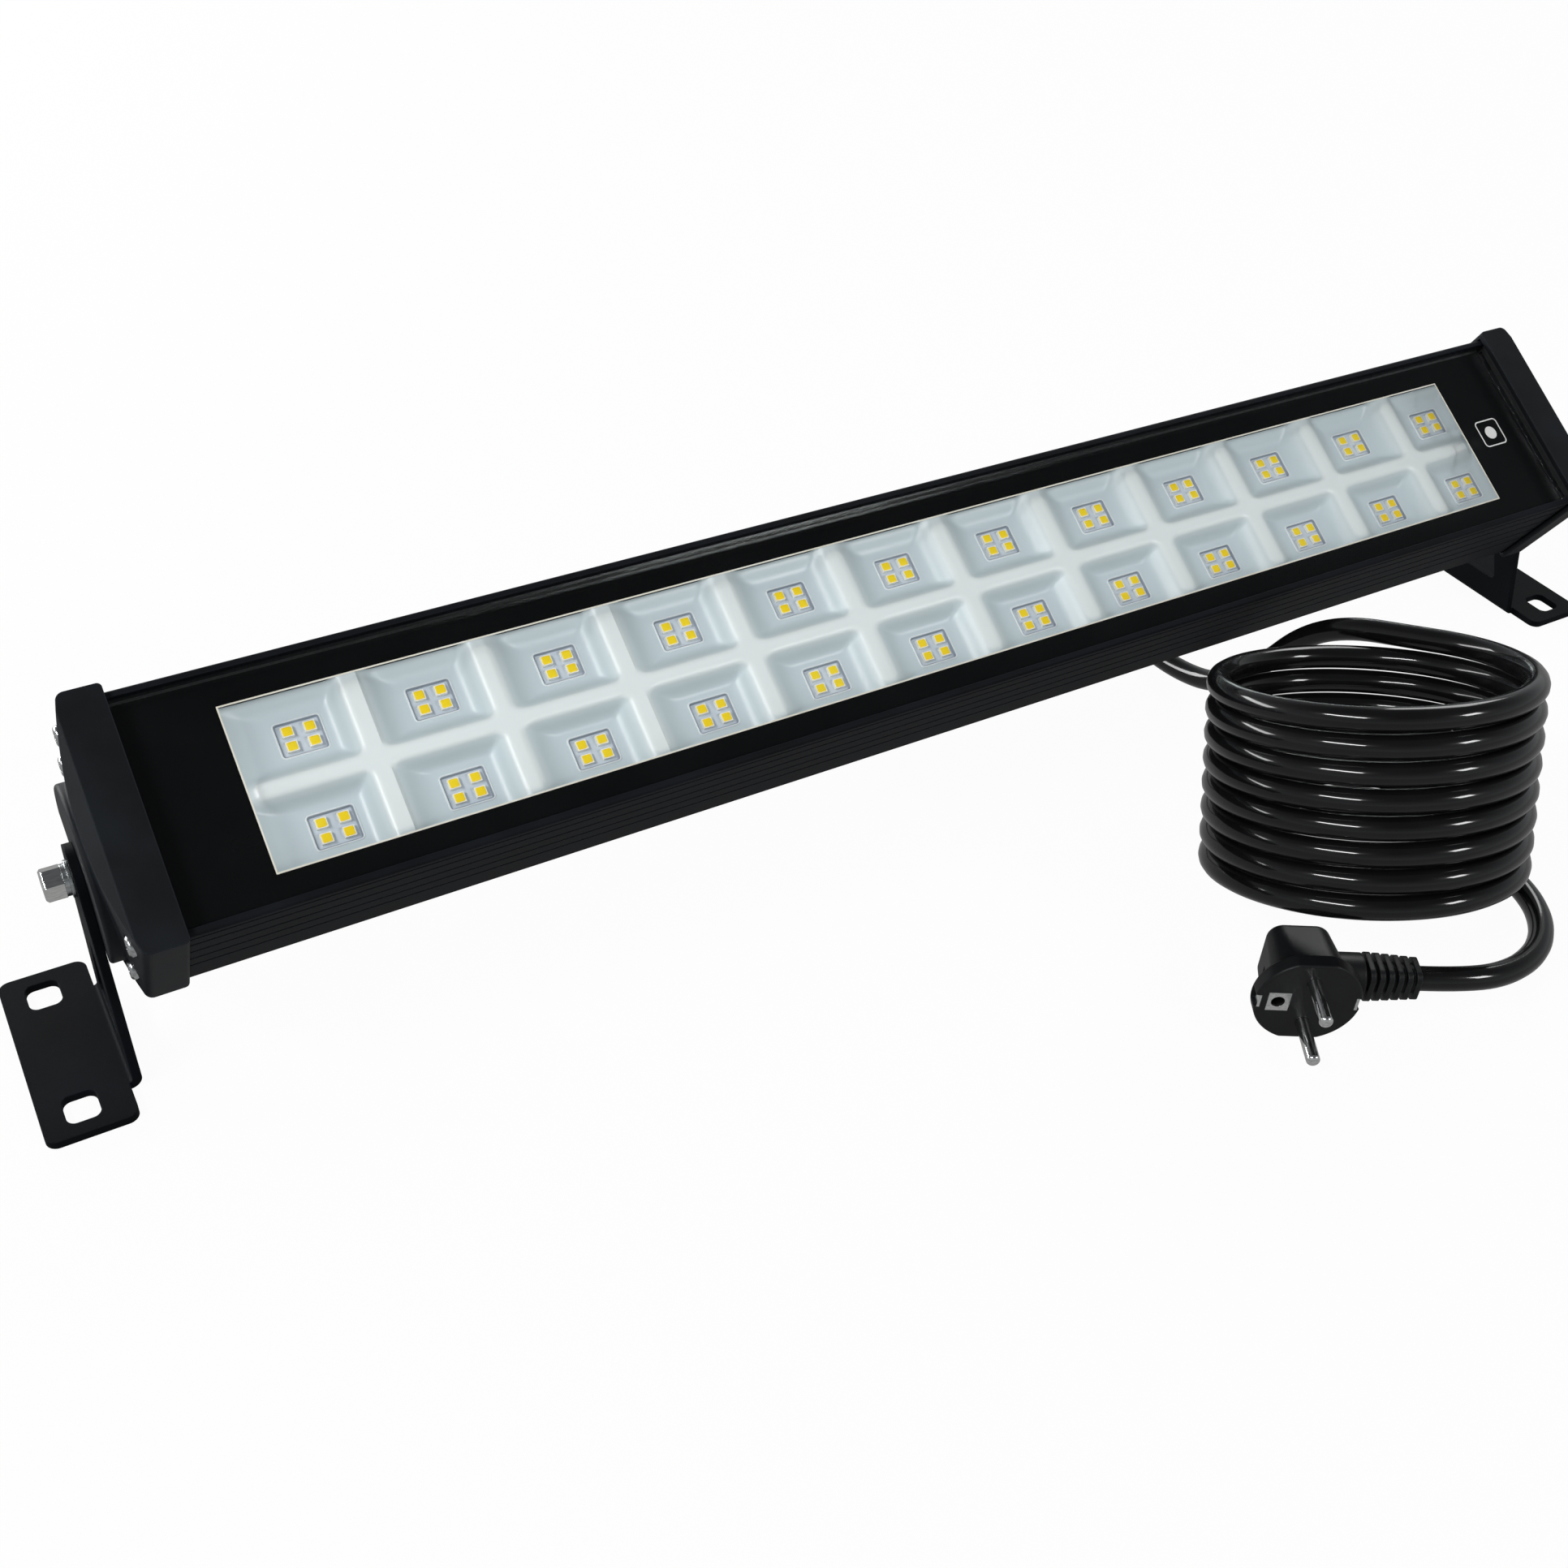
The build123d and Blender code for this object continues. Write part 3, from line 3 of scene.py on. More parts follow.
import bmesh
import bpy
from mathutils import Euler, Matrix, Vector


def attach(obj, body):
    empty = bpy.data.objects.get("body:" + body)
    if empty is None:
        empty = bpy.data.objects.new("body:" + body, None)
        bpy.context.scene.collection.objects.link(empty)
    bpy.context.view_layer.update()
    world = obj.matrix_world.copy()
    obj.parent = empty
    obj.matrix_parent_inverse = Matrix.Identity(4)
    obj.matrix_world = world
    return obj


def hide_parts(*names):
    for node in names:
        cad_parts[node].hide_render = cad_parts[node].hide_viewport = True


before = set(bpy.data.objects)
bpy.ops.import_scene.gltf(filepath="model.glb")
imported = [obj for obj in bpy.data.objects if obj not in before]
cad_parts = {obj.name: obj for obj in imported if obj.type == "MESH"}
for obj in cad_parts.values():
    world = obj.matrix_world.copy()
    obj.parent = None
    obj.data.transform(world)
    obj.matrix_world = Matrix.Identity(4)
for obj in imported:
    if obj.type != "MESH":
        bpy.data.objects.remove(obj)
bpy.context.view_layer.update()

# Sizes of the lamp, in metres, and its tilt
mm = 0.001
tilt = radians(32)
pivot = Vector((0, 4.5377, 73.0)) * mm
back_from_pivot = 12.5 * mm
middle_from_pivot = 2.0 * mm
glass_bottom = 41.5 * mm
glass_length = 595.0 * mm
glass_width = 77.6 * mm
window_length = 529.4 * mm
window_width = 57.4 * mm
line_width = 0.6 * mm
film = 0.04 * mm
board_top = 29.1 * mm
tray_left = -278.0 * mm
tray_right = 288.0 * mm
tray_half_width = 31.8 * mm
tray_rise = 7.0 * mm
cell_floor = 0.8 * mm
opening_length = 15.2 * mm
opening_width = 11.9 * mm
package_rise = 1.4 * mm
package_gaps = (7.5 * mm, 5.3 * mm)

# Grid of LED clusters, in millimetres: its end columns stand a little nearer to the middle
column_count = 12
row_count = 2
column_pitch = 46.0
row_pitch = 33.0
grid_shift = 10.5
end_column_inset = 1.1
column_places = [
    (grid_shift + (column - (column_count - 1) / 2) * column_pitch) * mm
    for column in range(column_count)
]
column_places[0] += end_column_inset * mm
column_places[-1] -= end_column_inset * mm
row_places = [-row_pitch / 2 * mm, row_pitch / 2 * mm]

# Ribs across the reflector: left of midway between columns, and less so from rib to rib
first_rib_shift = -3.6
rib_shift_step = 0.3
rib_places = [
    (left + right) / 2 + (rib_shift_step * rib + first_rib_shift) * mm
    for rib, (left, right) in enumerate(zip(column_places, column_places[1:]))
]
rib_top_half = 0.9 * mm

# Walls of a cell, from its cluster's middle: where the flat ends, and where the rib's top begins
cell_flat_along = 8.6 * mm
inner_wall = (7.0 * mm, 15.2 * mm)
outer_wall = (7.2 * mm, 15.5 * mm)
outer_wall_share = 0.5
end_walls = (-276.0 * mm, 286.0 * mm)
centre_rib_ends = (-265.0 * mm, 273.0 * mm)
centre_rib_run = (-2.0 * mm, 5.0 * mm)
centre_rib_least = 0.3

# Mesh steps on each wall
wall_steps_along = 17
wall_steps_across = 13

# Painted light: the ribs' paler colour fades a little at the window's long sides, so they are a
# little darker there
upper_fade_end = 30.0 * mm
lower_fade_end = 27.4 * mm
fade_run = 4.5 * mm
fade_share = 0.2

# Edges steeper than this angle are shaded sharp, and corners closer than this become one
sharp_angle = radians(35)
merge_distance = 0.001 * mm

# The lamp's own directions: along it, across it, and out of its glass
lamp_along = Vector((1, 0, 0))
lamp_across = Vector((0, cos(tilt), sin(tilt)))
lamp_out = Vector((0, -sin(tilt), cos(tilt)))
lamp_back = pivot + lamp_across * middle_from_pivot - lamp_out * back_from_pivot


# A place on the lamp, from its middle, as a point of the scene
def on_lamp(along, across, out):
    return lamp_back + lamp_along * along + lamp_across * across + lamp_out * out


# Camera at the photograph's place
def place_camera():
    lens = bpy.data.cameras.new("view_camera")
    lens.sensor_width = 36.0
    lens.lens = 41.1686
    lens.clip_end = 50.0
    camera = bpy.data.objects.new("view_camera", lens)
    camera.location = (-0.3442, -0.4596, 0.4601)
    camera.rotation_euler = Euler((radians(50.746), radians(-2.414), radians(-29.415)), "XYZ")
    bpy.context.scene.collection.objects.link(camera)
    bpy.context.scene.camera = camera


place_camera()

# Route of the mains cord, its points in millimetres: from the gland to the coil and the plug
lead_points = [
    (53.4, 65.2, 16.6),
    (76.6, 72.3, 5.4),
    (103.0, 71.5, 5.1),
    (126.0, 58.9, 5.1),
    (139.6, 35.7, 5.3),
    (140.2, 7.0, 6.2),
    (140.5, -19.0, 15.0),
    (141.0, -38.0, 37.0),
    (143.5, -52.5, 60.5),
]
tail_points = [
    (163.8, -128.4, 5.6),
    (169.2, -147.7, 6.4),
    (166.8, -167.6, 8.2),
    (156.9, -184.9, 10.6),
    (141.1, -197.2, 13.2),
    (121.8, -202.4, 15.4),
]
gland_place = (40.0, 20.0, -17.7)
cord_diameter = 9.0 * mm
lead_first_run = 26.8 * mm
lead_last_run = 26.0 * mm
tail_end_run = 20.0 * mm
coil_straight_end = 9.0 * mm
coil_radius = 54.0 * mm
coil_pitch = 9.52 * mm
coil_start_angle = radians(20)
coil_end_angle = radians(62)
coil_turns = 8 + (coil_start_angle - coil_end_angle) / (2 * pi)
coil_points_per_turn = 16
coil_lean = radians(22)
coil_heading = radians(70.5)
coil_axis = Vector((
    sin(coil_lean) * cos(coil_heading), sin(coil_lean) * sin(coil_heading), cos(coil_lean),
))
coil_right = (Vector((1, 0, 0)) - coil_axis * coil_axis.x).normalized()
coil_back = coil_axis.cross(coil_right)
coil_foot = Vector((101.0, -142.0, 5.4)) * mm + Vector((0, 0, coil_radius * sin(coil_lean)))
plug_turn = radians(30)
plug_side = Vector((cos(plug_turn), -sin(plug_turn), 0))
plug_centre = Vector((49.1, -169.4, 17.5)) * mm
relief_end = 41.0 * mm


# A place on the coil after some turns from its top, at a distance from its axis
def coil_place(turns, radius):
    angle = coil_start_angle - 2 * pi * turns
    ring = coil_right * cos(angle) + coil_back * sin(angle)
    return coil_foot + coil_axis * (coil_pitch * (coil_turns - turns)) + ring * radius


# The way that the cord runs there
def coil_way(turns):
    angle = coil_start_angle - 2 * pi * turns
    along = coil_right * sin(angle) - coil_back * cos(angle)
    return (along * (2 * pi * coil_radius) - coil_axis * coil_pitch).normalized()


# All the control points of the cord, from the gland to the plug
def cord_route():
    gland_exit = on_lamp(*(value * mm for value in gland_place))
    coil_first = coil_place(0, coil_radius) - coil_way(0) * coil_straight_end
    coil_last = coil_place(coil_turns, coil_radius) + coil_way(coil_turns) * coil_straight_end
    steps = round(coil_turns * coil_points_per_turn)
    corner_radius = coil_radius / cos(pi * coil_turns / steps)
    tail_end = plug_centre + plug_side * relief_end
    route = [gland_exit, gland_exit - lamp_out * lead_first_run]
    route += [Vector(place) * mm for place in lead_points]
    route += [coil_first - coil_way(0) * lead_last_run, coil_first]
    route += [
        coil_place(coil_turns * (step + 0.5) / steps, corner_radius) for step in range(steps)
    ]
    route += [coil_last, coil_last + coil_way(coil_turns) * tail_end_run]
    route += [Vector(place) * mm for place in tail_points]
    route += [tail_end + plug_side * tail_end_run, tail_end]
    return route


# The mains cord: one smooth line with a round section
def make_cord():
    line = bpy.data.curves.new("mains_cord", "CURVE")
    line.dimensions = "3D"
    line.bevel_depth = cord_diameter / 2
    line.bevel_resolution = 6
    line.resolution_u = 8
    line.use_fill_caps = True
    route = cord_route()
    spline = line.splines.new("NURBS")
    spline.points.add(len(route) - 1)
    for point, place in zip(spline.points, route):
        point.co = (*place, 1.0)
    spline.order_u = 3
    spline.use_endpoint_u = True
    cord = bpy.data.objects.new("mains_cord", line)
    bpy.context.scene.collection.objects.link(cord)
    return cord


mains_cord = make_cord()


# Colour from its usual six-figure form, as the shader wants it
def paint(code):
    colour = []
    for start in (0, 2, 4):
        part = int(code[start:start + 2], 16) / 255
        colour.append(part / 12.92 if part <= 0.04045 else ((part + 0.055) / 1.055) ** 2.4)
    return (*colour, 1.0)


# Start a shared effect: a group with named inputs and outputs
def new_effect(name, inputs, outputs):
    group = bpy.data.node_groups.new(name, "ShaderNodeTree")
    for label, kind, value in inputs:
        socket = group.interface.new_socket(label, in_out="INPUT", socket_type=kind)
        socket.default_value = value
    for label, kind in outputs:
        group.interface.new_socket(label, in_out="OUTPUT", socket_type=kind)
    return group, group.nodes.new("NodeGroupInput"), group.nodes.new("NodeGroupOutput")


# Put a node into a tree, set its values and join its inputs
def put(tree, kind, settings=None, values=None, joins=None):
    node = tree.nodes.new(kind)
    for name, value in (settings or {}).items():
        setattr(node, name, value)
    for name, value in (values or {}).items():
        node.inputs[name].default_value = value
    for name, source in (joins or {}).items():
        tree.links.new(source, node.inputs[name])
    return node


# Fine grain of a coated or moulded surface, on edges that are rounded a little
def make_grain():
    tree, given, result = new_effect(
        "surface_grain",
        [
            ("Grain per metre", "NodeSocketFloat", 1500.0),
            ("Grain depth", "NodeSocketFloat", 0.1),
            ("Edge radius", "NodeSocketFloat", 0.0004),
        ],
        [
            ("Normal", "NodeSocketVector"),
            ("Mottle", "NodeSocketFloat"),
            ("Worn edge", "NodeSocketFloat"),
        ],
    )
    place = put(tree, "ShaderNodeTexCoord")
    grain = put(
        tree, "ShaderNodeTexNoise", values={"Detail": 3.0, "Roughness": 0.6},
        joins={"Vector": place.outputs["Object"], "Scale": given.outputs["Grain per metre"]},
    )
    cloud = put(
        tree, "ShaderNodeTexNoise", values={"Scale": 35.0, "Detail": 4.0, "Roughness": 0.55},
        joins={"Vector": place.outputs["Object"]},
    )
    rounded = put(
        tree, "ShaderNodeBevel", {"samples": 4}, joins={"Radius": given.outputs["Edge radius"]},
    )
    bump = put(
        tree, "ShaderNodeBump", values={"Distance": 0.0002},
        joins={
            "Height": grain.outputs["Fac"],
            "Strength": given.outputs["Grain depth"],
            "Normal": rounded.outputs["Normal"],
        },
    )
    flat = put(tree, "ShaderNodeNewGeometry")
    agree = put(
        tree, "ShaderNodeVectorMath", {"operation": "DOT_PRODUCT"},
        joins={0: rounded.outputs["Normal"], 1: flat.outputs["True Normal"]},
    )
    edge = put(
        tree, "ShaderNodeMapRange",
        values={"From Min": 0.995, "From Max": 0.8, "To Min": 0.0, "To Max": 1.0},
        joins={"Value": agree.outputs["Value"]},
    )
    tree.links.new(bump.outputs["Normal"], result.inputs["Normal"])
    tree.links.new(cloud.outputs["Fac"], result.inputs["Mottle"])
    tree.links.new(edge.outputs["Result"], result.inputs["Worn edge"])
    return tree


# Fine lines that a brush, a lathe or a roller leaves along one direction
def make_brush_lines():
    tree, given, result = new_effect(
        "brush_lines",
        [("Stretch", "NodeSocketVector", (1.0, 1.0, 1.0)), ("Line depth", "NodeSocketFloat", 0.1)],
        [("Normal", "NodeSocketVector"), ("Lines", "NodeSocketFloat")],
    )
    place = put(tree, "ShaderNodeTexCoord")
    pulled = put(
        tree, "ShaderNodeVectorMath", {"operation": "MULTIPLY"},
        joins={0: place.outputs["Object"], 1: given.outputs["Stretch"]},
    )
    lines = put(
        tree, "ShaderNodeTexNoise", values={"Scale": 1.0, "Detail": 4.0, "Roughness": 0.65},
        joins={"Vector": pulled.outputs["Vector"]},
    )
    rounded = put(tree, "ShaderNodeBevel", {"samples": 4}, values={"Radius": 0.0003})
    bump = put(
        tree, "ShaderNodeBump", values={"Distance": 0.0001},
        joins={
            "Height": lines.outputs["Fac"],
            "Strength": given.outputs["Line depth"],
            "Normal": rounded.outputs["Normal"],
        },
    )
    tree.links.new(bump.outputs["Normal"], result.inputs["Normal"])
    tree.links.new(lines.outputs["Fac"], result.inputs["Lines"])
    return tree


surface_grain = make_grain()
brush_lines = make_brush_lines()


# A finish with its own shader, and constant values on the shader's own sockets
def new_finish(name, values):
    finish = bpy.data.materials.new(name)
    finish.use_nodes = True
    tree = finish.node_tree
    shader = tree.nodes["Principled BSDF"]
    for label, value in values.items():
        shader.inputs[label].default_value = value
    return finish, tree, shader


# A coated or moulded finish: two near colours in soft clouds, a lighter edge, and a fine grain
def grained(name, dark, light, edge, gloss, grain, depth, radius=0.0004, values=None):
    finish, tree, shader = new_finish(name, values or {})
    texture = put(tree, "ShaderNodeGroup", {"node_tree": surface_grain})
    texture.inputs["Grain per metre"].default_value = grain
    texture.inputs["Grain depth"].default_value = depth
    texture.inputs["Edge radius"].default_value = radius
    clouds = put(tree, "ShaderNodeValToRGB", joins={"Fac": texture.outputs["Mottle"]})
    clouds.color_ramp.elements[0].position = 0.35
    clouds.color_ramp.elements[0].color = paint(dark)
    clouds.color_ramp.elements[1].position = 0.65
    clouds.color_ramp.elements[1].color = paint(light)
    blend = put(
        tree, "ShaderNodeMix", {"data_type": "RGBA"},
        joins={"Factor": texture.outputs["Worn edge"]},
    )
    tree.links.new(clouds.outputs["Color"], blend.inputs["A"])
    blend.inputs["B"].default_value = paint(edge)
    tree.links.new(blend.outputs["Result"], shader.inputs["Base Color"])
    rough = put(
        tree, "ShaderNodeMapRange", values={"To Min": gloss[0], "To Max": gloss[1]},
        joins={"Value": texture.outputs["Mottle"]},
    )
    tree.links.new(rough.outputs["Result"], shader.inputs["Roughness"])
    tree.links.new(texture.outputs["Normal"], shader.inputs["Normal"])
    return finish


# A metal finish with fine lines in one direction
def brushed(name, dark, light, gloss, stretch, depth):
    finish, tree, shader = new_finish(name, {"Metallic": 1.0})
    texture = put(tree, "ShaderNodeGroup", {"node_tree": brush_lines})
    texture.inputs["Stretch"].default_value = stretch
    texture.inputs["Line depth"].default_value = depth
    shade = put(tree, "ShaderNodeValToRGB", joins={"Fac": texture.outputs["Lines"]})
    shade.color_ramp.elements[0].position = 0.3
    shade.color_ramp.elements[0].color = paint(dark)
    shade.color_ramp.elements[1].position = 0.7
    shade.color_ramp.elements[1].color = paint(light)
    tree.links.new(shade.outputs["Color"], shader.inputs["Base Color"])
    rough = put(
        tree, "ShaderNodeMapRange", values={"To Min": gloss[0], "To Max": gloss[1]},
        joins={"Value": texture.outputs["Lines"]},
    )
    tree.links.new(rough.outputs["Result"], shader.inputs["Roughness"])
    tree.links.new(texture.outputs["Normal"], shader.inputs["Normal"])
    return finish


# Clear front glass: it mirrors only as much as the angle gives
def make_clear_glass():
    finish, tree, shader = new_finish(
        "clear_glass", {"Metallic": 1.0, "Base Color": paint("f4fbfa")},
    )
    texture = put(tree, "ShaderNodeGroup", {"node_tree": surface_grain})
    texture.inputs["Grain depth"].default_value = 0.0
    mirror = put(tree, "ShaderNodeFresnel", values={"IOR": 1.25})
    share = put(
        tree, "ShaderNodeMapRange",
        values={"From Min": 0.0, "From Max": 1.0, "To Min": 0.0, "To Max": 0.8},
        joins={"Value": mirror.outputs["Fac"]},
    )
    tree.links.new(share.outputs["Result"], shader.inputs["Alpha"])
    haze = put(
        tree, "ShaderNodeMapRange", values={"To Min": 0.02, "To Max": 0.07},
        joins={"Value": texture.outputs["Mottle"]},
    )
    tree.links.new(haze.outputs["Result"], shader.inputs["Roughness"])
    return finish


# Reflector plastic: grey in the scooped cells as painted shade, paler on the ribs as painted
# light, by the height kept on its mesh
def make_reflector_plastic():
    finish, tree, shader = new_finish("reflector_plastic_painted_shade", {"Specular IOR Level": 0.5})
    texture = put(tree, "ShaderNodeGroup", {"node_tree": surface_grain})
    texture.inputs["Grain per metre"].default_value = 900.0
    texture.inputs["Grain depth"].default_value = 0.05
    texture.inputs["Edge radius"].default_value = 0.0002
    # The kept share picks the colour: painted shade in the cells, painted light on the ribs
    rise = put(tree, "ShaderNodeAttribute", {"attribute_name": "rise"})
    clouded = put(
        tree, "ShaderNodeMath", {"operation": "MULTIPLY_ADD"}, values={1: 0.06},
        joins={0: texture.outputs["Mottle"], 2: rise.outputs["Fac"]},
    )
    shade = put(tree, "ShaderNodeValToRGB", joins={"Fac": clouded.outputs[0]})
    shade.color_ramp.interpolation = "EASE"
    stops = shade.color_ramp.elements
    for number, (place, code) in enumerate((
        (0.0, "ccd9de"), (0.45, "cddade"), (0.8, "d8e3e6"), (0.97, "eef4f4"),
    )):
        stop = stops[number] if number < 2 else stops.new(place)
        stop.position = place
        stop.color = paint(code)
    tree.links.new(shade.outputs["Color"], shader.inputs["Base Color"])
    rough = put(
        tree, "ShaderNodeMapRange", values={"To Min": 0.3, "To Max": 0.42},
        joins={"Value": texture.outputs["Mottle"]},
    )
    tree.links.new(rough.outputs["Result"], shader.inputs["Roughness"])
    tree.links.new(texture.outputs["Normal"], shader.inputs["Normal"])
    return finish


housing_coat = grained(
    "black_housing_coat", "0c0e11", "12151a", "1f242a", (0.56, 0.68), 1600.0, 0.16,
    values={"Specular IOR Level": 0.08},
)
cap_coat = grained(
    "black_cap_coat", "0c0e11", "12161a", "232930", (0.5, 0.62), 1300.0, 0.2, 0.0008,
    values={"Specular IOR Level": 0.14},
)
bracket_coat = grained(
    "black_bracket_coat", "07090b", "0b0e12", "171c22", (0.56, 0.68), 1400.0, 0.2, 0.0006,
    values={"Specular IOR Level": 0.05},
)
glass_finish = make_clear_glass()
print_finish = grained(
    "black_glass_print", "060708", "090a0b", "090a0b", (0.22, 0.3), 900.0, 0.0,
    values={"Specular IOR Level": 0.2},
)
line_finish = grained("cream_line_print", "efeada", "f8f5ea", "f8f5ea", (0.4, 0.5), 900.0, 0.0)
mark_finish = grained("white_mark_print", "f4f4f2", "fbfbfa", "fbfbfa", (0.4, 0.5), 900.0, 0.0)
reflector_finish = make_reflector_plastic()
board_finish = grained("pale_board_mask", "c3ced9", "cfd8e1", "d6dee6", (0.35, 0.5), 1200.0, 0.06)
rim_finish = grained(
    "white_opening_rim", "dde5e9", "e6ecef", "f2f5f7", (0.3, 0.4), 1200.0, 0.04, 0.0002,
)
# Grey of the groove inside each opening: painted shade from the gap
groove_painted_shade = grained(
    "opening_groove_painted_shade", "8f9aa7", "9ca6b2", "a8b1bb", (0.5, 0.6), 1200.0, 0.04, 0.0001,
)
package_finish = grained(
    "white_led_body", "f4f2e6", "fbf9f0", "ffffff", (0.3, 0.4), 2500.0, 0.05, 0.0001,
)
phosphor_finish = grained(
    "yellow_led_phosphor", "ffdb16", "ffe22c", "ffde26", (0.3, 0.4), 5000.0, 0.15, 0.0001,
)
seal_finish = grained("grey_seal_rubber", "1b1c1d", "242526", "2e2f30", (0.6, 0.75), 1800.0, 0.2)
pad_finish = grained("grey_thermal_pad", "8a8f96", "979ca2", "a2a6ab", (0.6, 0.75), 1200.0, 0.2)
moulded_finish = grained(
    "black_moulded_plastic", "121315", "191b1d", "2c2f32", (0.3, 0.42), 1100.0, 0.15, 0.0006,
)
terminal_finish = grained(
    "pale_terminal_plastic", "cfd3d0", "dcdfdc", "eceeec", (0.35, 0.5), 1200.0, 0.1,
)
case_finish = brushed(
    "pressed_driver_case", "a4a8aa", "c3c6c8", (0.3, 0.42), (60.0, 1500.0, 1500.0), 0.15,
)
circuit_finish = grained(
    "green_circuit_board", "1d5a35", "24683e", "3a7c52", (0.3, 0.42), 1400.0, 0.1,
)
winding_finish = grained(
    "amber_winding_tape", "c79a2a", "d8ab38", "e2bb55", (0.35, 0.5), 1300.0, 0.12,
)
can_finish = grained(
    "dark_capacitor_sleeve", "15181d", "1c2026", "30353c", (0.25, 0.35), 1200.0, 0.06,
)
wire_finish = grained(
    "red_wire_insulation", "a32a22", "b83228", "c84a3e", (0.3, 0.4), 1500.0, 0.06,
)
sheath_finish = grained(
    "black_cord_sheath", "0a0a0b", "101011", "101011", (0.22, 0.3), 700.0, 0.0, 0.0001,
    values={"Specular IOR Level": 0.06, "Coat Weight": 0.65, "Coat Roughness": 0.08},
)
plug_finish = grained(
    "black_plug_plastic", "0b0c0d", "101113", "222426", (0.36, 0.48), 900.0, 0.1, 0.0007,
    values={"Specular IOR Level": 0.25},
)
screw_finish = brushed(
    "bright_screw_steel", "a8aaab", "d4d6d7", (0.16, 0.3), (900.0, 900.0, 900.0), 0.1,
)
bolt_finish = brushed(
    "bright_chrome", "cfd0d0", "efeeec", (0.05, 0.12), (300.0, 1500.0, 1500.0), 0.08,
)
washer_finish = brushed(
    "plain_washer_steel", "9fa3a5", "c9cccd", (0.2, 0.34), (400.0, 1200.0, 1200.0), 0.12,
)
brass_finish = brushed(
    "turned_brass", "b08d3e", "cfae5c", (0.2, 0.32), (1800.0, 500.0, 500.0), 0.12,
)
contact_finish = brushed(
    "bright_contact_metal", "c2c4c5", "ececeb", (0.08, 0.18), (700.0, 700.0, 1400.0), 0.06,
)


# Give a CAD node its finish
def dress(finish, *names):
    for name in names:
        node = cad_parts[name]
        if not node.material_slots:
            node.data.materials.append(finish)
        for place in node.material_slots:
            place.link = "OBJECT"
            place.material = finish


both_sides = ("left", "right")
dress(housing_coat, "housing_profile")
dress(cap_coat, *(side + "_end_cap" for side in both_sides))
dress(bracket_coat, *(side + "_bracket" for side in both_sides))
dress(glass_finish, "front_glass")
dress(seal_finish, "glass_seal", *(side + "_cap_seal" for side in both_sides))
dress(pad_finish, "thermal_pad")
dress(board_finish, "led_board")
dress(package_finish, "led_packages")
dress(reflector_finish, "reflector_tray")
dress(screw_finish, "tray_screws", *(side + "_cap_screws" for side in both_sides))
dress(bolt_finish, *(side + "_pivot_bolt" for side in both_sides))
dress(washer_finish, *(side + "_flat_washer" for side in both_sides))
dress(washer_finish, *(side + "_lock_washer" for side in both_sides))
dress(brass_finish, *(side + "_pivot_insert" for side in both_sides))
dress(case_finish, "driver_case", "driver_lid")
dress(circuit_finish, "driver_board")
dress(winding_finish, "driver_transformer")
dress(can_finish, "driver_capacitors")
dress(terminal_finish, "terminal_block")
dress(wire_finish, "supply_wires", "output_wires", "cord_cores")
dress(sheath_finish, "cord_inner_end")
dress(moulded_finish, "gland_body", "gland_nut", "gland_lock_nut", "breather_vent")
dress(seal_finish, "gland_washer")
dress(plug_finish, "plug_body", "plug_strain_relief")
dress(contact_finish, "plug_pins", "plug_earth_contacts")


# An outline with rounded corners, as places along and across the lamp
def rounded_outline(centre, length, width, radius, segments=8):
    corners = [(1, 1, 0), (-1, 1, 90), (-1, -1, 180), (1, -1, 270)]
    outline = []
    for side, edge, start in corners:
        for step in range(segments + 1):
            angle = radians(start + 90 * step / segments)
            outline.append((
                centre[0] + side * (length / 2 - radius) + radius * cos(angle),
                centre[1] + edge * (width / 2 - radius) + radius * sin(angle),
            ))
    return outline


# A closed flat plate or ring on the lamp: one or two outlines, between two heights over its back
def flat_piece(name, outer, inner, low, high, finish, slot):
    mesh = bmesh.new()
    rings = [
        [mesh.verts.new(on_lamp(along, across, height)) for along, across in outline]
        for outline, height in (
            [(outer, low), (outer, high)] + ([(inner, high), (inner, low)] if inner else [])
        )
    ]
    count = len(outer)
    pairs = list(zip(rings, rings[1:])) + ([(rings[-1], rings[0])] if inner else [])
    for first, second in pairs:
        for spot in range(count):
            after = (spot + 1) % count
            mesh.faces.new((first[spot], first[after], second[after], second[spot]))
    if not inner:
        mesh.faces.new(rings[1])
        mesh.faces.new(list(reversed(rings[0])))
    bmesh.ops.recalc_face_normals(mesh, faces=mesh.faces)
    data = bpy.data.meshes.new(name)
    mesh.to_mesh(data)
    mesh.free()
    piece = bpy.data.objects.new(name, data)
    piece.data.materials.append(finish)
    bpy.context.scene.collection.objects.link(piece)
    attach(piece, "lamp_head")
    return piece


# A mesh piece on the lamp from corners and faces, with its share of painted light and shade kept
# for the finish
def new_piece(name, corners, faces, painted_light_shares, finish):
    data = bpy.data.meshes.new(name)
    data.from_pydata([tuple(corner) for corner in corners], [], faces)
    data.update()
    kept = data.attributes.new("rise", "FLOAT", "POINT")
    kept.data.foreach_set("value", painted_light_shares)
    mesh = bmesh.new()
    mesh.from_mesh(data)
    bmesh.ops.remove_doubles(mesh, verts=mesh.verts, dist=merge_distance)
    bmesh.ops.recalc_face_normals(mesh, faces=mesh.faces)
    mesh.to_mesh(data)
    mesh.free()
    data.polygons.foreach_set("use_smooth", [True] * len(data.polygons))
    data.set_sharp_from_angle(angle=sharp_angle)
    data.materials.append(finish)
    piece = bpy.data.objects.new(name, data)
    bpy.context.scene.collection.objects.link(piece)
    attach(piece, "lamp_head")
    return piece


# A soft step from 0 to 1 between two limits
def soft_step(value, low, high):
    share = min(max((value - low) / (high - low), 0.0), 1.0)
    return share * share * (3 - 2 * share)


# Rise of a reflector wall from the flat round the opening to the top of the rib
def wall_rise(distance, flat, top):
    share = min(max((distance - flat) / (top - flat), 0.0), 1.0)
    return (1 - cos(pi * share ** 1.25)) / 2


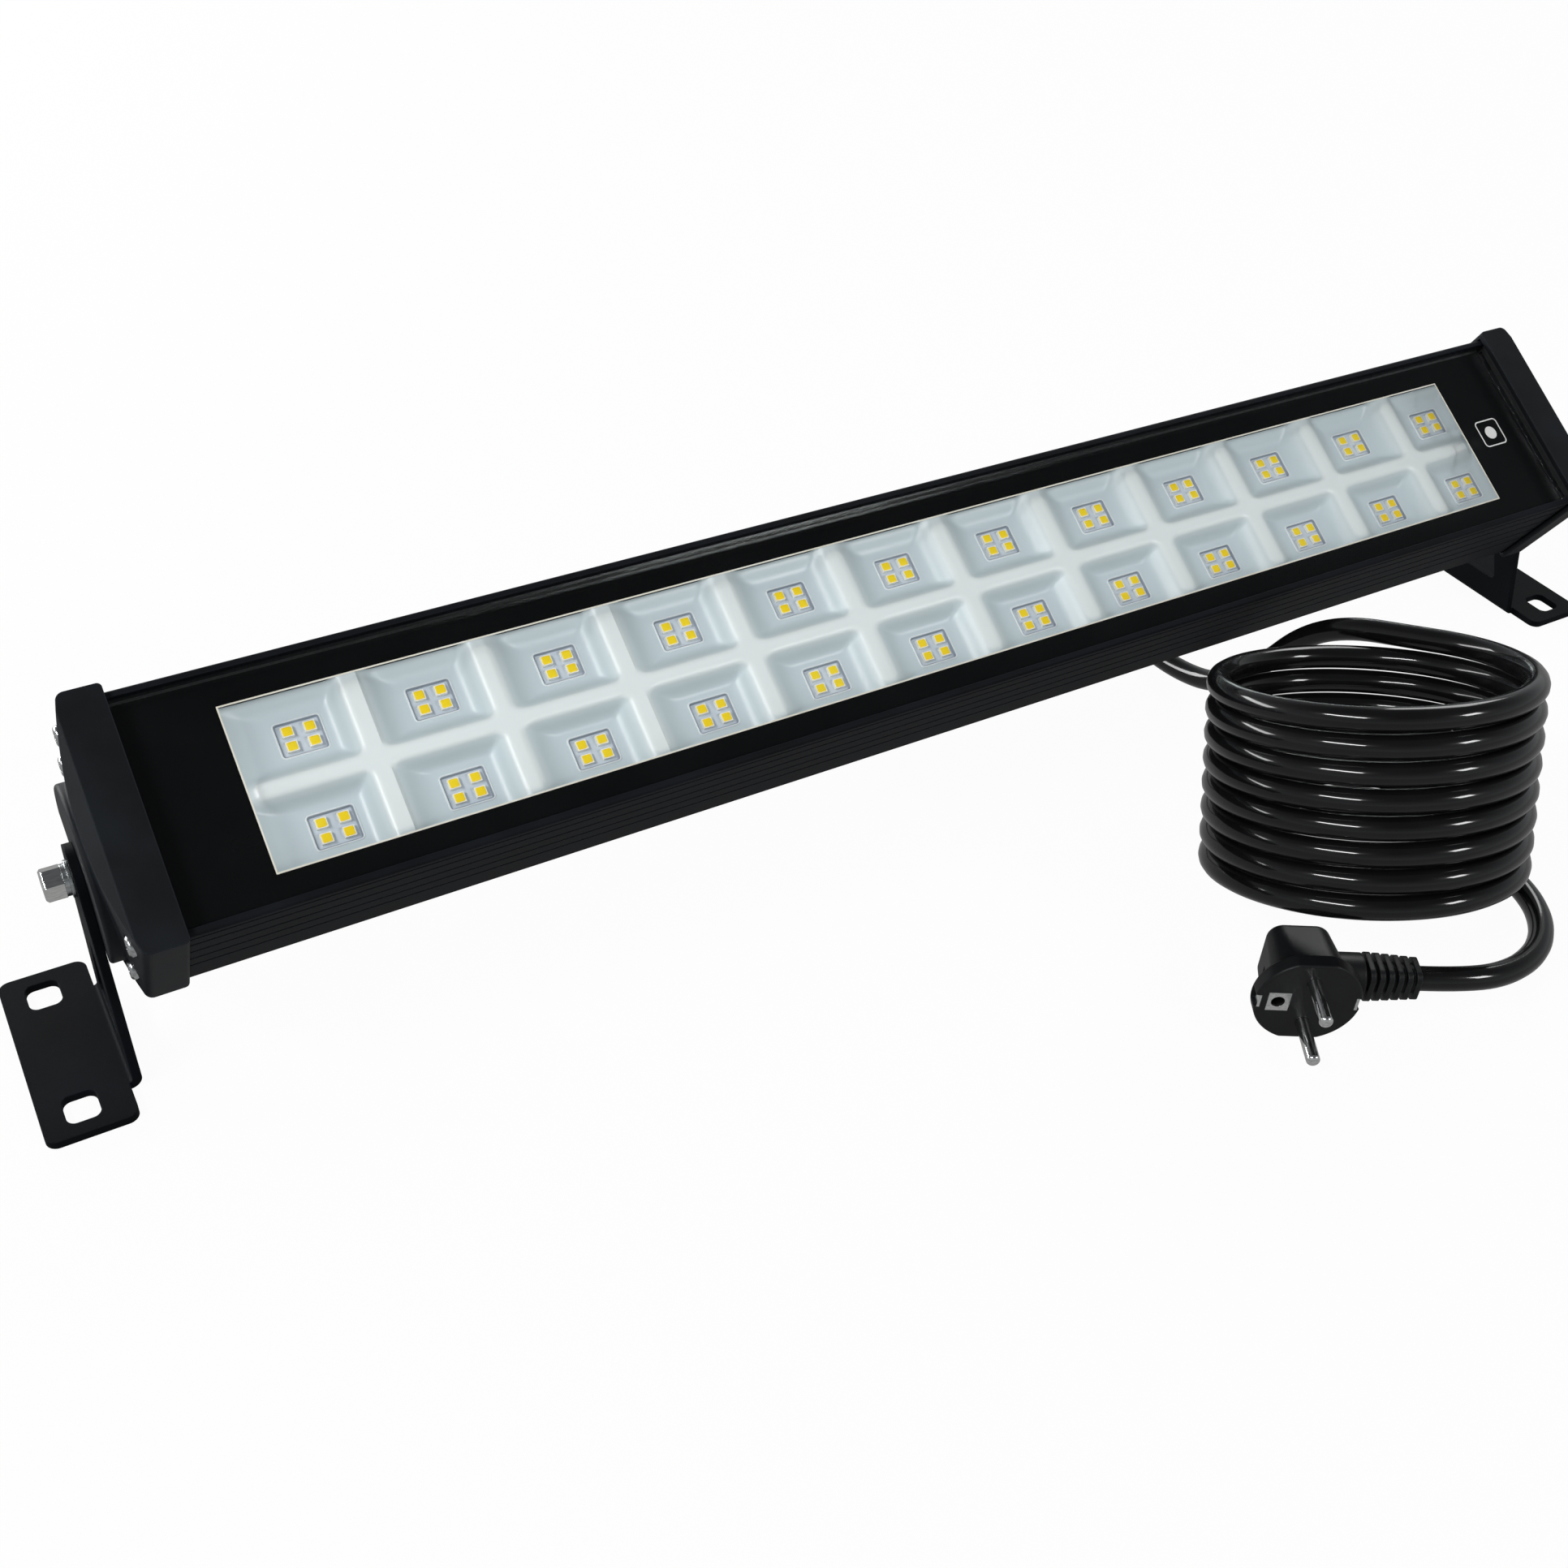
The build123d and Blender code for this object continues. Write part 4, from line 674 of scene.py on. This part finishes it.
# Share of the reflector's rise at a place: scooped cells between soft ribs
def reflector_rise(along, across):
    column = min(range(column_count), key=lambda number: abs(along - column_places[number]))
    beside = along - column_places[column]
    walls = [end_walls[0], *rib_places, end_walls[1]]
    wall = walls[column + 1] if beside > 0 else walls[column]
    side_rise = wall_rise(
        abs(beside), cell_flat_along, abs(wall - column_places[column]) - rib_top_half,
    )
    row = row_places[0] if across < 0 else row_places[1]
    from_row = abs(across - row)
    if abs(across) < abs(row):
        from_end = min(along - centre_rib_ends[0], centre_rib_ends[1] - along)
        row_rise = wall_rise(from_row, *inner_wall)
        end_share = soft_step(from_end, *centre_rib_run)
        row_rise *= centre_rib_least + (1 - centre_rib_least) * end_share
    else:
        row_rise = outer_wall_share * wall_rise(from_row, *outer_wall)
    return min((side_rise ** 4 + row_rise ** 4) ** 0.25, 1.0)


# Lines of the reflector's mesh: close together on the walls, and one pair at each opening
def mesh_lines(first, last, centres, half_opening, steps):
    lines = []
    bounds = [first] + [(a + b) / 2 for a, b in zip(centres, centres[1:])] + [last]
    for centre, low, high in zip(centres, bounds, bounds[1:]):
        lines += [low + (centre - half_opening - low) * step / steps for step in range(steps)]
        lines += [centre - half_opening, centre + half_opening]
        lines += [
            centre + half_opening + (high - centre - half_opening) * step / steps
            for step in range(1, steps + 1)
        ]
    return sorted(set(round(line, 7) for line in lines))


# The reflector tray: one moulded sheet with an opening over each cluster
def make_reflector():
    along_lines = mesh_lines(
        tray_left, tray_right, column_places, opening_length / 2, wall_steps_along,
    )
    across_lines = mesh_lines(
        -tray_half_width, tray_half_width, row_places, opening_width / 2, wall_steps_across,
    )
    corners = []
    painted_light_shares = []
    for along in along_lines:
        for across in across_lines:
            rise = reflector_rise(along, across)
            edge = upper_fade_end if across > 0 else lower_fade_end
            # Share of painted light and shade: it follows the rise, and fades a little at the
            # window's long sides
            painted_light_share = rise * (1 - fade_share * soft_step(abs(across), edge - fade_run, edge))
            painted_light_shares += [painted_light_share, painted_light_share]
            height = board_top + cell_floor + (tray_rise - cell_floor) * rise
            corners.append(on_lamp(along, across, height))
            corners.append(on_lamp(along, across, board_top))
    wide = len(across_lines)

    def is_open(first, second):
        if not (0 <= first < len(along_lines) - 1 and 0 <= second < wide - 1):
            return True
        along = (along_lines[first] + along_lines[first + 1]) / 2
        across = (across_lines[second] + across_lines[second + 1]) / 2
        near_column = min(abs(along - place) for place in column_places) < opening_length / 2
        near_row = min(abs(across - place) for place in row_places) < opening_width / 2
        return near_column and near_row

    faces = []
    for first in range(len(along_lines) - 1):
        for second in range(wide - 1):
            if is_open(first, second):
                continue
            spots = [
                2 * (first * wide + second), 2 * ((first + 1) * wide + second),
                2 * ((first + 1) * wide + second + 1), 2 * (first * wide + second + 1),
            ]
            faces.append(tuple(spots))
            faces.append(tuple(spot + 1 for spot in reversed(spots)))
            beside = [
                (first, second - 1), (first + 1, second), (first, second + 1), (first - 1, second),
            ]
            for number, place in enumerate(beside):
                if is_open(*place):
                    start, end = spots[number], spots[(number + 1) % 4]
                    faces.append((start, start + 1, end + 1, end))
    piece = new_piece(
        "reflector_cells", corners, faces, painted_light_shares, reflector_finish,
    )
    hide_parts("reflector_tray")


make_reflector()


# A small template mesh, in the lamp's directions, that Geometry Nodes repeats at given places
def template(name, corners, faces):
    data = bpy.data.meshes.new(name)
    data.from_pydata(corners, [], faces)
    mesh = bmesh.new()
    mesh.from_mesh(data)
    bmesh.ops.recalc_face_normals(mesh, faces=mesh.faces)
    mesh.to_mesh(data)
    mesh.free()
    holder = bpy.data.objects.new(name, data)
    bpy.context.scene.collection.objects.link(holder)
    return holder


# A closed shape from rounded outlines, each at its own height: a ring, or else a cushion
def stacked_outlines(outlines, heights, ring):
    corners = [
        (lamp_along * along + lamp_across * across + lamp_out * height)
        for outline, height in zip(outlines, heights)
        for along, across in outline
    ]
    count = len(outlines[0])
    faces = []
    layers = len(outlines)
    for layer in range(layers if ring else layers - 1):
        low = layer * count
        high = ((layer + 1) % layers) * count
        for spot in range(count):
            after = (spot + 1) % count
            faces.append((low + spot, low + after, high + after, high + spot))
    if not ring:
        faces.append(tuple(range((layers - 1) * count, layers * count)))
        faces.append(tuple(reversed(range(count))))
    return corners, faces


# Geometry Nodes: the template at every cell, with so many per cell and given gaps
def repeat_in_cells(name, shape, finish, gaps, per_side, height, replaced=()):
    tree = bpy.data.node_groups.new(name + "_layout", "GeometryNodeTree")
    sizes = {}
    for label, value in (
        ("Column pitch", column_pitch * mm), ("Row pitch", row_pitch * mm),
        ("Gap along", gaps[0]), ("Gap across", gaps[1]),
    ):
        socket = tree.interface.new_socket(label, in_out="INPUT", socket_type="NodeSocketFloat")
        sizes[socket.identifier] = value
    tree.interface.new_socket("Geometry", in_out="OUTPUT", socket_type="NodeSocketGeometry")
    given = tree.nodes.new("NodeGroupInput")
    result = tree.nodes.new("NodeGroupOutput")

    def grid(columns, rows, pitch_along, pitch_across):
        spans = []
        for count, pitch in ((columns, pitch_along), (rows, pitch_across)):
            span = put(
                tree, "ShaderNodeMath", {"operation": "MULTIPLY"}, {1: float(count - 1)},
                {0: pitch},
            )
            spans.append(span.outputs[0])
        made = put(tree, "GeometryNodeMeshGrid", joins={"Size X": spans[0], "Size Y": spans[1]})
        made.inputs["Vertices X"].default_value = columns
        made.inputs["Vertices Y"].default_value = rows
        return made.outputs["Mesh"]

    cells = grid(
        column_count, row_count, given.outputs["Column pitch"], given.outputs["Row pitch"],
    )
    spots = cells
    if per_side > 1:
        group = grid(per_side, per_side, given.outputs["Gap along"], given.outputs["Gap across"])
        spread = put(
            tree, "GeometryNodeInstanceOnPoints", joins={"Points": cells, "Instance": group},
        )
        spots = put(
            tree, "GeometryNodeRealizeInstances", joins={"Geometry": spread.outputs["Instances"]},
        ).outputs[0]
    # The two end columns stand a little nearer to the middle than the pitch says
    place = put(tree, "GeometryNodeInputPosition")
    parts = put(tree, "ShaderNodeSeparateXYZ", joins={"Vector": place.outputs[0]})
    size = put(tree, "ShaderNodeMath", {"operation": "ABSOLUTE"}, joins={0: parts.outputs["X"]})
    is_end = put(
        tree, "ShaderNodeMath", {"operation": "GREATER_THAN"},
        {1: (column_count / 2 - 1) * column_pitch * mm}, {0: size.outputs[0]},
    )
    side = put(tree, "ShaderNodeMath", {"operation": "SIGN"}, joins={0: parts.outputs["X"]})
    inset = put(
        tree, "ShaderNodeMath", {"operation": "MULTIPLY"},
        joins={0: is_end.outputs[0], 1: side.outputs[0]},
    )
    moved = put(
        tree, "ShaderNodeMath", {"operation": "MULTIPLY_ADD"},
        {1: -end_column_inset * mm, 2: grid_shift * mm}, {0: inset.outputs[0]},
    )
    shift = put(tree, "ShaderNodeCombineXYZ", joins={"X": moved.outputs[0]})
    centred = put(
        tree, "GeometryNodeSetPosition", joins={"Geometry": spots, "Offset": shift.outputs[0]},
    )
    turned = put(tree, "GeometryNodeTransform", joins={"Geometry": centred.outputs[0]})
    turned.inputs["Translation"].default_value = on_lamp(0, 0, height)
    turned.inputs["Rotation"].default_value = (tilt, 0.0, 0.0)
    model = put(tree, "GeometryNodeObjectInfo")
    model.inputs["Object"].default_value = shape
    repeated = put(
        tree, "GeometryNodeInstanceOnPoints",
        joins={"Points": turned.outputs[0], "Instance": model.outputs["Geometry"]},
    )
    real = put(
        tree, "GeometryNodeRealizeInstances", joins={"Geometry": repeated.outputs["Instances"]},
    )
    finished = put(tree, "GeometryNodeSetMaterial", joins={"Geometry": real.outputs[0]})
    finished.inputs["Material"].default_value = finish
    tree.links.new(finished.outputs[0], result.inputs["Geometry"])

    holder = bpy.data.objects.new(name + "_layout", bpy.data.meshes.new(name + "_layout"))
    bpy.context.scene.collection.objects.link(holder)
    layout = holder.modifiers.new("layout", "NODES")
    layout.node_group = tree
    for identifier, value in sizes.items():
        layout[identifier] = value
    seen = holder.evaluated_get(bpy.context.evaluated_depsgraph_get())
    data = bpy.data.meshes.new_from_object(seen)
    data.name = name
    holder.modifiers.remove(layout)
    bpy.data.objects.remove(holder)
    bpy.data.objects.remove(shape)
    data.polygons.foreach_set("use_smooth", [True] * len(data.polygons))
    data.set_sharp_from_angle(angle=sharp_angle)
    piece = bpy.data.objects.new(name, data)
    bpy.context.scene.collection.objects.link(piece)
    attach(piece, "lamp_head")
    if replaced:
        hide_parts(*replaced)


# Yellow fill of each package: a low cushion with round corners
fill_length = 3.3 * mm
fill_width = 3.05 * mm
fill_corner = 0.62 * mm
fill_outlines = [
    rounded_outline((0, 0), fill_length * share, fill_width * share, fill_corner * share, 3)
    for share in (1.0, 1.0, 0.9, 0.6)
]
fill_shape = template("fill_shape", *stacked_outlines(
    fill_outlines, [-0.3 * mm, 0.02 * mm, 0.1 * mm, 0.14 * mm], False,
))
repeat_in_cells(
    "led_fills", fill_shape, phosphor_finish, package_gaps, 2,
    board_top + package_rise, ("led_phosphors",),
)

# Rim round each opening of the reflector, and the groove inside it, grey as painted shade
opening_corner = 1.0 * mm
rim_shape = template("rim_shape", *stacked_outlines(
    [
        rounded_outline(
            (0, 0), opening_length + grow, opening_width + grow,
            opening_corner + grow / 2, 4,
        )
        for grow in (0.0, 0.0, 0.3 * mm, 0.8 * mm, 1.2 * mm, 1.2 * mm)
    ],
    [-0.3 * mm, 0.22 * mm, 0.32 * mm, 0.3 * mm, 0.02 * mm, -0.3 * mm], True,
))
repeat_in_cells(
    "opening_rims", rim_shape, rim_finish, (0.0, 0.0), 1,
    board_top + cell_floor,
)
groove_shape = template("groove_shape", *stacked_outlines(
    [
        rounded_outline(
            (0, 0), opening_length - shrink, opening_width - shrink,
            opening_corner - shrink / 2, 4,
        )
        for shrink in (1.0 * mm, 0.9 * mm, 0.1 * mm, 0.0)
    ],
    [0.02 * mm, 0.3 * mm, 0.95 * mm, 0.02 * mm], True,
))
repeat_in_cells(
    "opening_grooves", groove_shape, groove_painted_shade, (0.0, 0.0), 1, board_top,
)

# Print under the glass: the black border, the cream line round the window, and a plain mark
print_margin = 0.5 * mm
first_film = (glass_bottom, glass_bottom + film)
second_film = (glass_bottom + film, glass_bottom + 2 * film)
glass_edge_outline = rounded_outline(
    (0, 0), glass_length - 2 * print_margin, glass_width - 2 * print_margin, 0.5 * mm, 4,
)
window_outline = rounded_outline((0, 0), window_length, window_width, 0.15 * mm, 4)
line_outline = rounded_outline(
    (0, 0), window_length + 2 * line_width, window_width + 2 * line_width, 0.3 * mm, 4,
)
border_print = flat_piece(
    "glass_border_print", glass_edge_outline, window_outline, *first_film,
    print_finish, "front_glass",
)
# The studio light reaches the cells at the window's edges too, as it does in the photograph
border_print.visible_shadow = False
flat_piece(
    "window_line_print", line_outline, window_outline, *second_film, line_finish, "front_glass",
)
mark_centre = (280.0 * mm, 0.5 * mm)
frame_outer = 12.7 * mm
frame_inner = 11.5 * mm
dot_width = 6.0 * mm
flat_piece(
    "mark_frame_print",
    rounded_outline(mark_centre, frame_outer, frame_outer, 2.0 * mm),
    rounded_outline(mark_centre, frame_inner, frame_inner, 1.4 * mm),
    *second_film, mark_finish, "front_glass",
)
flat_piece(
    "mark_dot_print", rounded_outline(mark_centre, dot_width, dot_width, dot_width / 2), None,
    *second_film, mark_finish, "front_glass",
)

# The cord's finish, its place on the lamp head, and the CAD cord parts that it replaces
mains_cord.data.materials.append(sheath_finish)
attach(mains_cord, "lamp_head")
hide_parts("cord_lead", "cord_coil", "cord_tail")
tuple(cord_route()[0])


# Pale floor: it shows white to the camera, keeps the object's shadow, and is grey in gloss
def make_floor():
    reach = 6.0
    depth = -0.2 * mm
    matt_level = 0.6
    gloss_level = 0.35
    white_share = 0.96
    mesh = bmesh.new()
    corners = [(-reach, -reach), (reach, -reach), (reach, reach), (-reach, reach)]
    mesh.faces.new([mesh.verts.new((x, y, depth)) for x, y in corners])
    data = bpy.data.meshes.new("studio_floor")
    mesh.to_mesh(data)
    mesh.free()
    floor = bpy.data.objects.new("studio_floor", data)
    bpy.context.scene.collection.objects.link(floor)
    finish = bpy.data.materials.new("pale_floor")
    finish.use_nodes = True
    tree = finish.node_tree
    tree.nodes.clear()
    matt = put(
        tree, "ShaderNodeBsdfDiffuse", values={"Color": (matt_level, matt_level, matt_level, 1.0)},
    )
    white = put(tree, "ShaderNodeEmission", values={"Color": (1.0, 1.0, 1.0, 1.0)})
    grey = put(
        tree, "ShaderNodeEmission",
        values={"Color": (1.0, 1.0, 1.0, 1.0), "Strength": gloss_level},
    )
    rays = put(tree, "ShaderNodeLightPath")
    straight = put(
        tree, "ShaderNodeMath", {"operation": "MAXIMUM"},
        joins={0: rays.outputs["Is Camera Ray"], 1: rays.outputs["Is Transmission Ray"]},
    )
    share = put(
        tree, "ShaderNodeMath", {"operation": "MULTIPLY"}, {1: white_share},
        {0: straight.outputs[0]},
    )
    seen = put(
        tree, "ShaderNodeMixShader",
        joins={0: share.outputs[0], 1: matt.outputs[0], 2: white.outputs[0]},
    )
    mixed = put(
        tree, "ShaderNodeMixShader",
        joins={0: rays.outputs["Is Glossy Ray"], 1: seen.outputs[0], 2: grey.outputs[0]},
    )
    put(tree, "ShaderNodeOutputMaterial", joins={"Surface": mixed.outputs[0]})
    data.materials.append(finish)


# Room light: pale near the horizon, darker overhead, white to the camera, and dimmer in gloss
def make_room():
    horizon_colour = (0.6, 0.62, 0.63, 1.0)
    overhead_colour = (0.12, 0.125, 0.13, 1.0)
    gloss_drop = 0.2
    world = bpy.data.worlds.new("studio_room")
    bpy.context.scene.world = world
    world.use_nodes = True
    tree = world.node_tree
    tree.nodes.clear()
    place = put(tree, "ShaderNodeTexCoord")
    parts = put(tree, "ShaderNodeSeparateXYZ", joins={"Vector": place.outputs["Generated"]})
    ramp = put(tree, "ShaderNodeValToRGB", joins={"Fac": parts.outputs["Z"]})
    ramp.color_ramp.elements[0].position = 0.1
    ramp.color_ramp.elements[0].color = horizon_colour
    ramp.color_ramp.elements[1].position = 0.75
    ramp.color_ramp.elements[1].color = overhead_colour
    rays = put(tree, "ShaderNodeLightPath")
    shown = put(
        tree, "ShaderNodeMix", {"data_type": "RGBA"},
        joins={"Factor": rays.outputs["Is Camera Ray"]},
    )
    tree.links.new(ramp.outputs["Color"], shown.inputs["A"])
    shown.inputs["B"].default_value = (1.0, 1.0, 1.0, 1.0)
    level = put(
        tree, "ShaderNodeMath", {"operation": "MULTIPLY_ADD"}, {1: -gloss_drop, 2: 1.0},
        {0: rays.outputs["Is Glossy Ray"]},
    )
    light = put(
        tree, "ShaderNodeBackground",
        joins={"Color": shown.outputs["Result"], "Strength": level.outputs[0]},
    )
    put(tree, "ShaderNodeOutputWorld", joins={"Surface": light.outputs[0]})


# A soft box at a bearing and height round the object's middle, facing it
def soft_box(name, bearing, height, distance, size, power):
    lamp = bpy.data.lights.new(name, "AREA")
    lamp.shape = "RECTANGLE"
    lamp.size, lamp.size_y = size
    lamp.energy = power
    holder = bpy.data.objects.new(name, lamp)
    way = Vector((
        sin(radians(bearing)) * cos(radians(height)),
        -cos(radians(bearing)) * cos(radians(height)),
        sin(radians(height)),
    ))
    holder.location = way * distance
    holder.rotation_euler = way.to_track_quat("Z", "Y").to_euler()
    holder.visible_camera = False
    bpy.context.scene.collection.objects.link(holder)


make_floor()
make_room()
for name, bearing, height, distance, size, power in (
    ("front_left_box", -76.0, 46.0, 2.6, (1.3, 0.2), 40.0),
    ("front_right_box", 28.0, 34.0, 1.7, (0.34, 0.28), 7.5),
    ("right_box", 122.0, 38.0, 2.2, (0.8, 0.8), 12.0),
    ("back_box", 214.0, 14.0, 2.0, (1.6, 0.6), 40.0),
):
    soft_box(name, bearing, height, distance, size, power)

bpy.context.scene.view_settings.view_transform = "Standard"
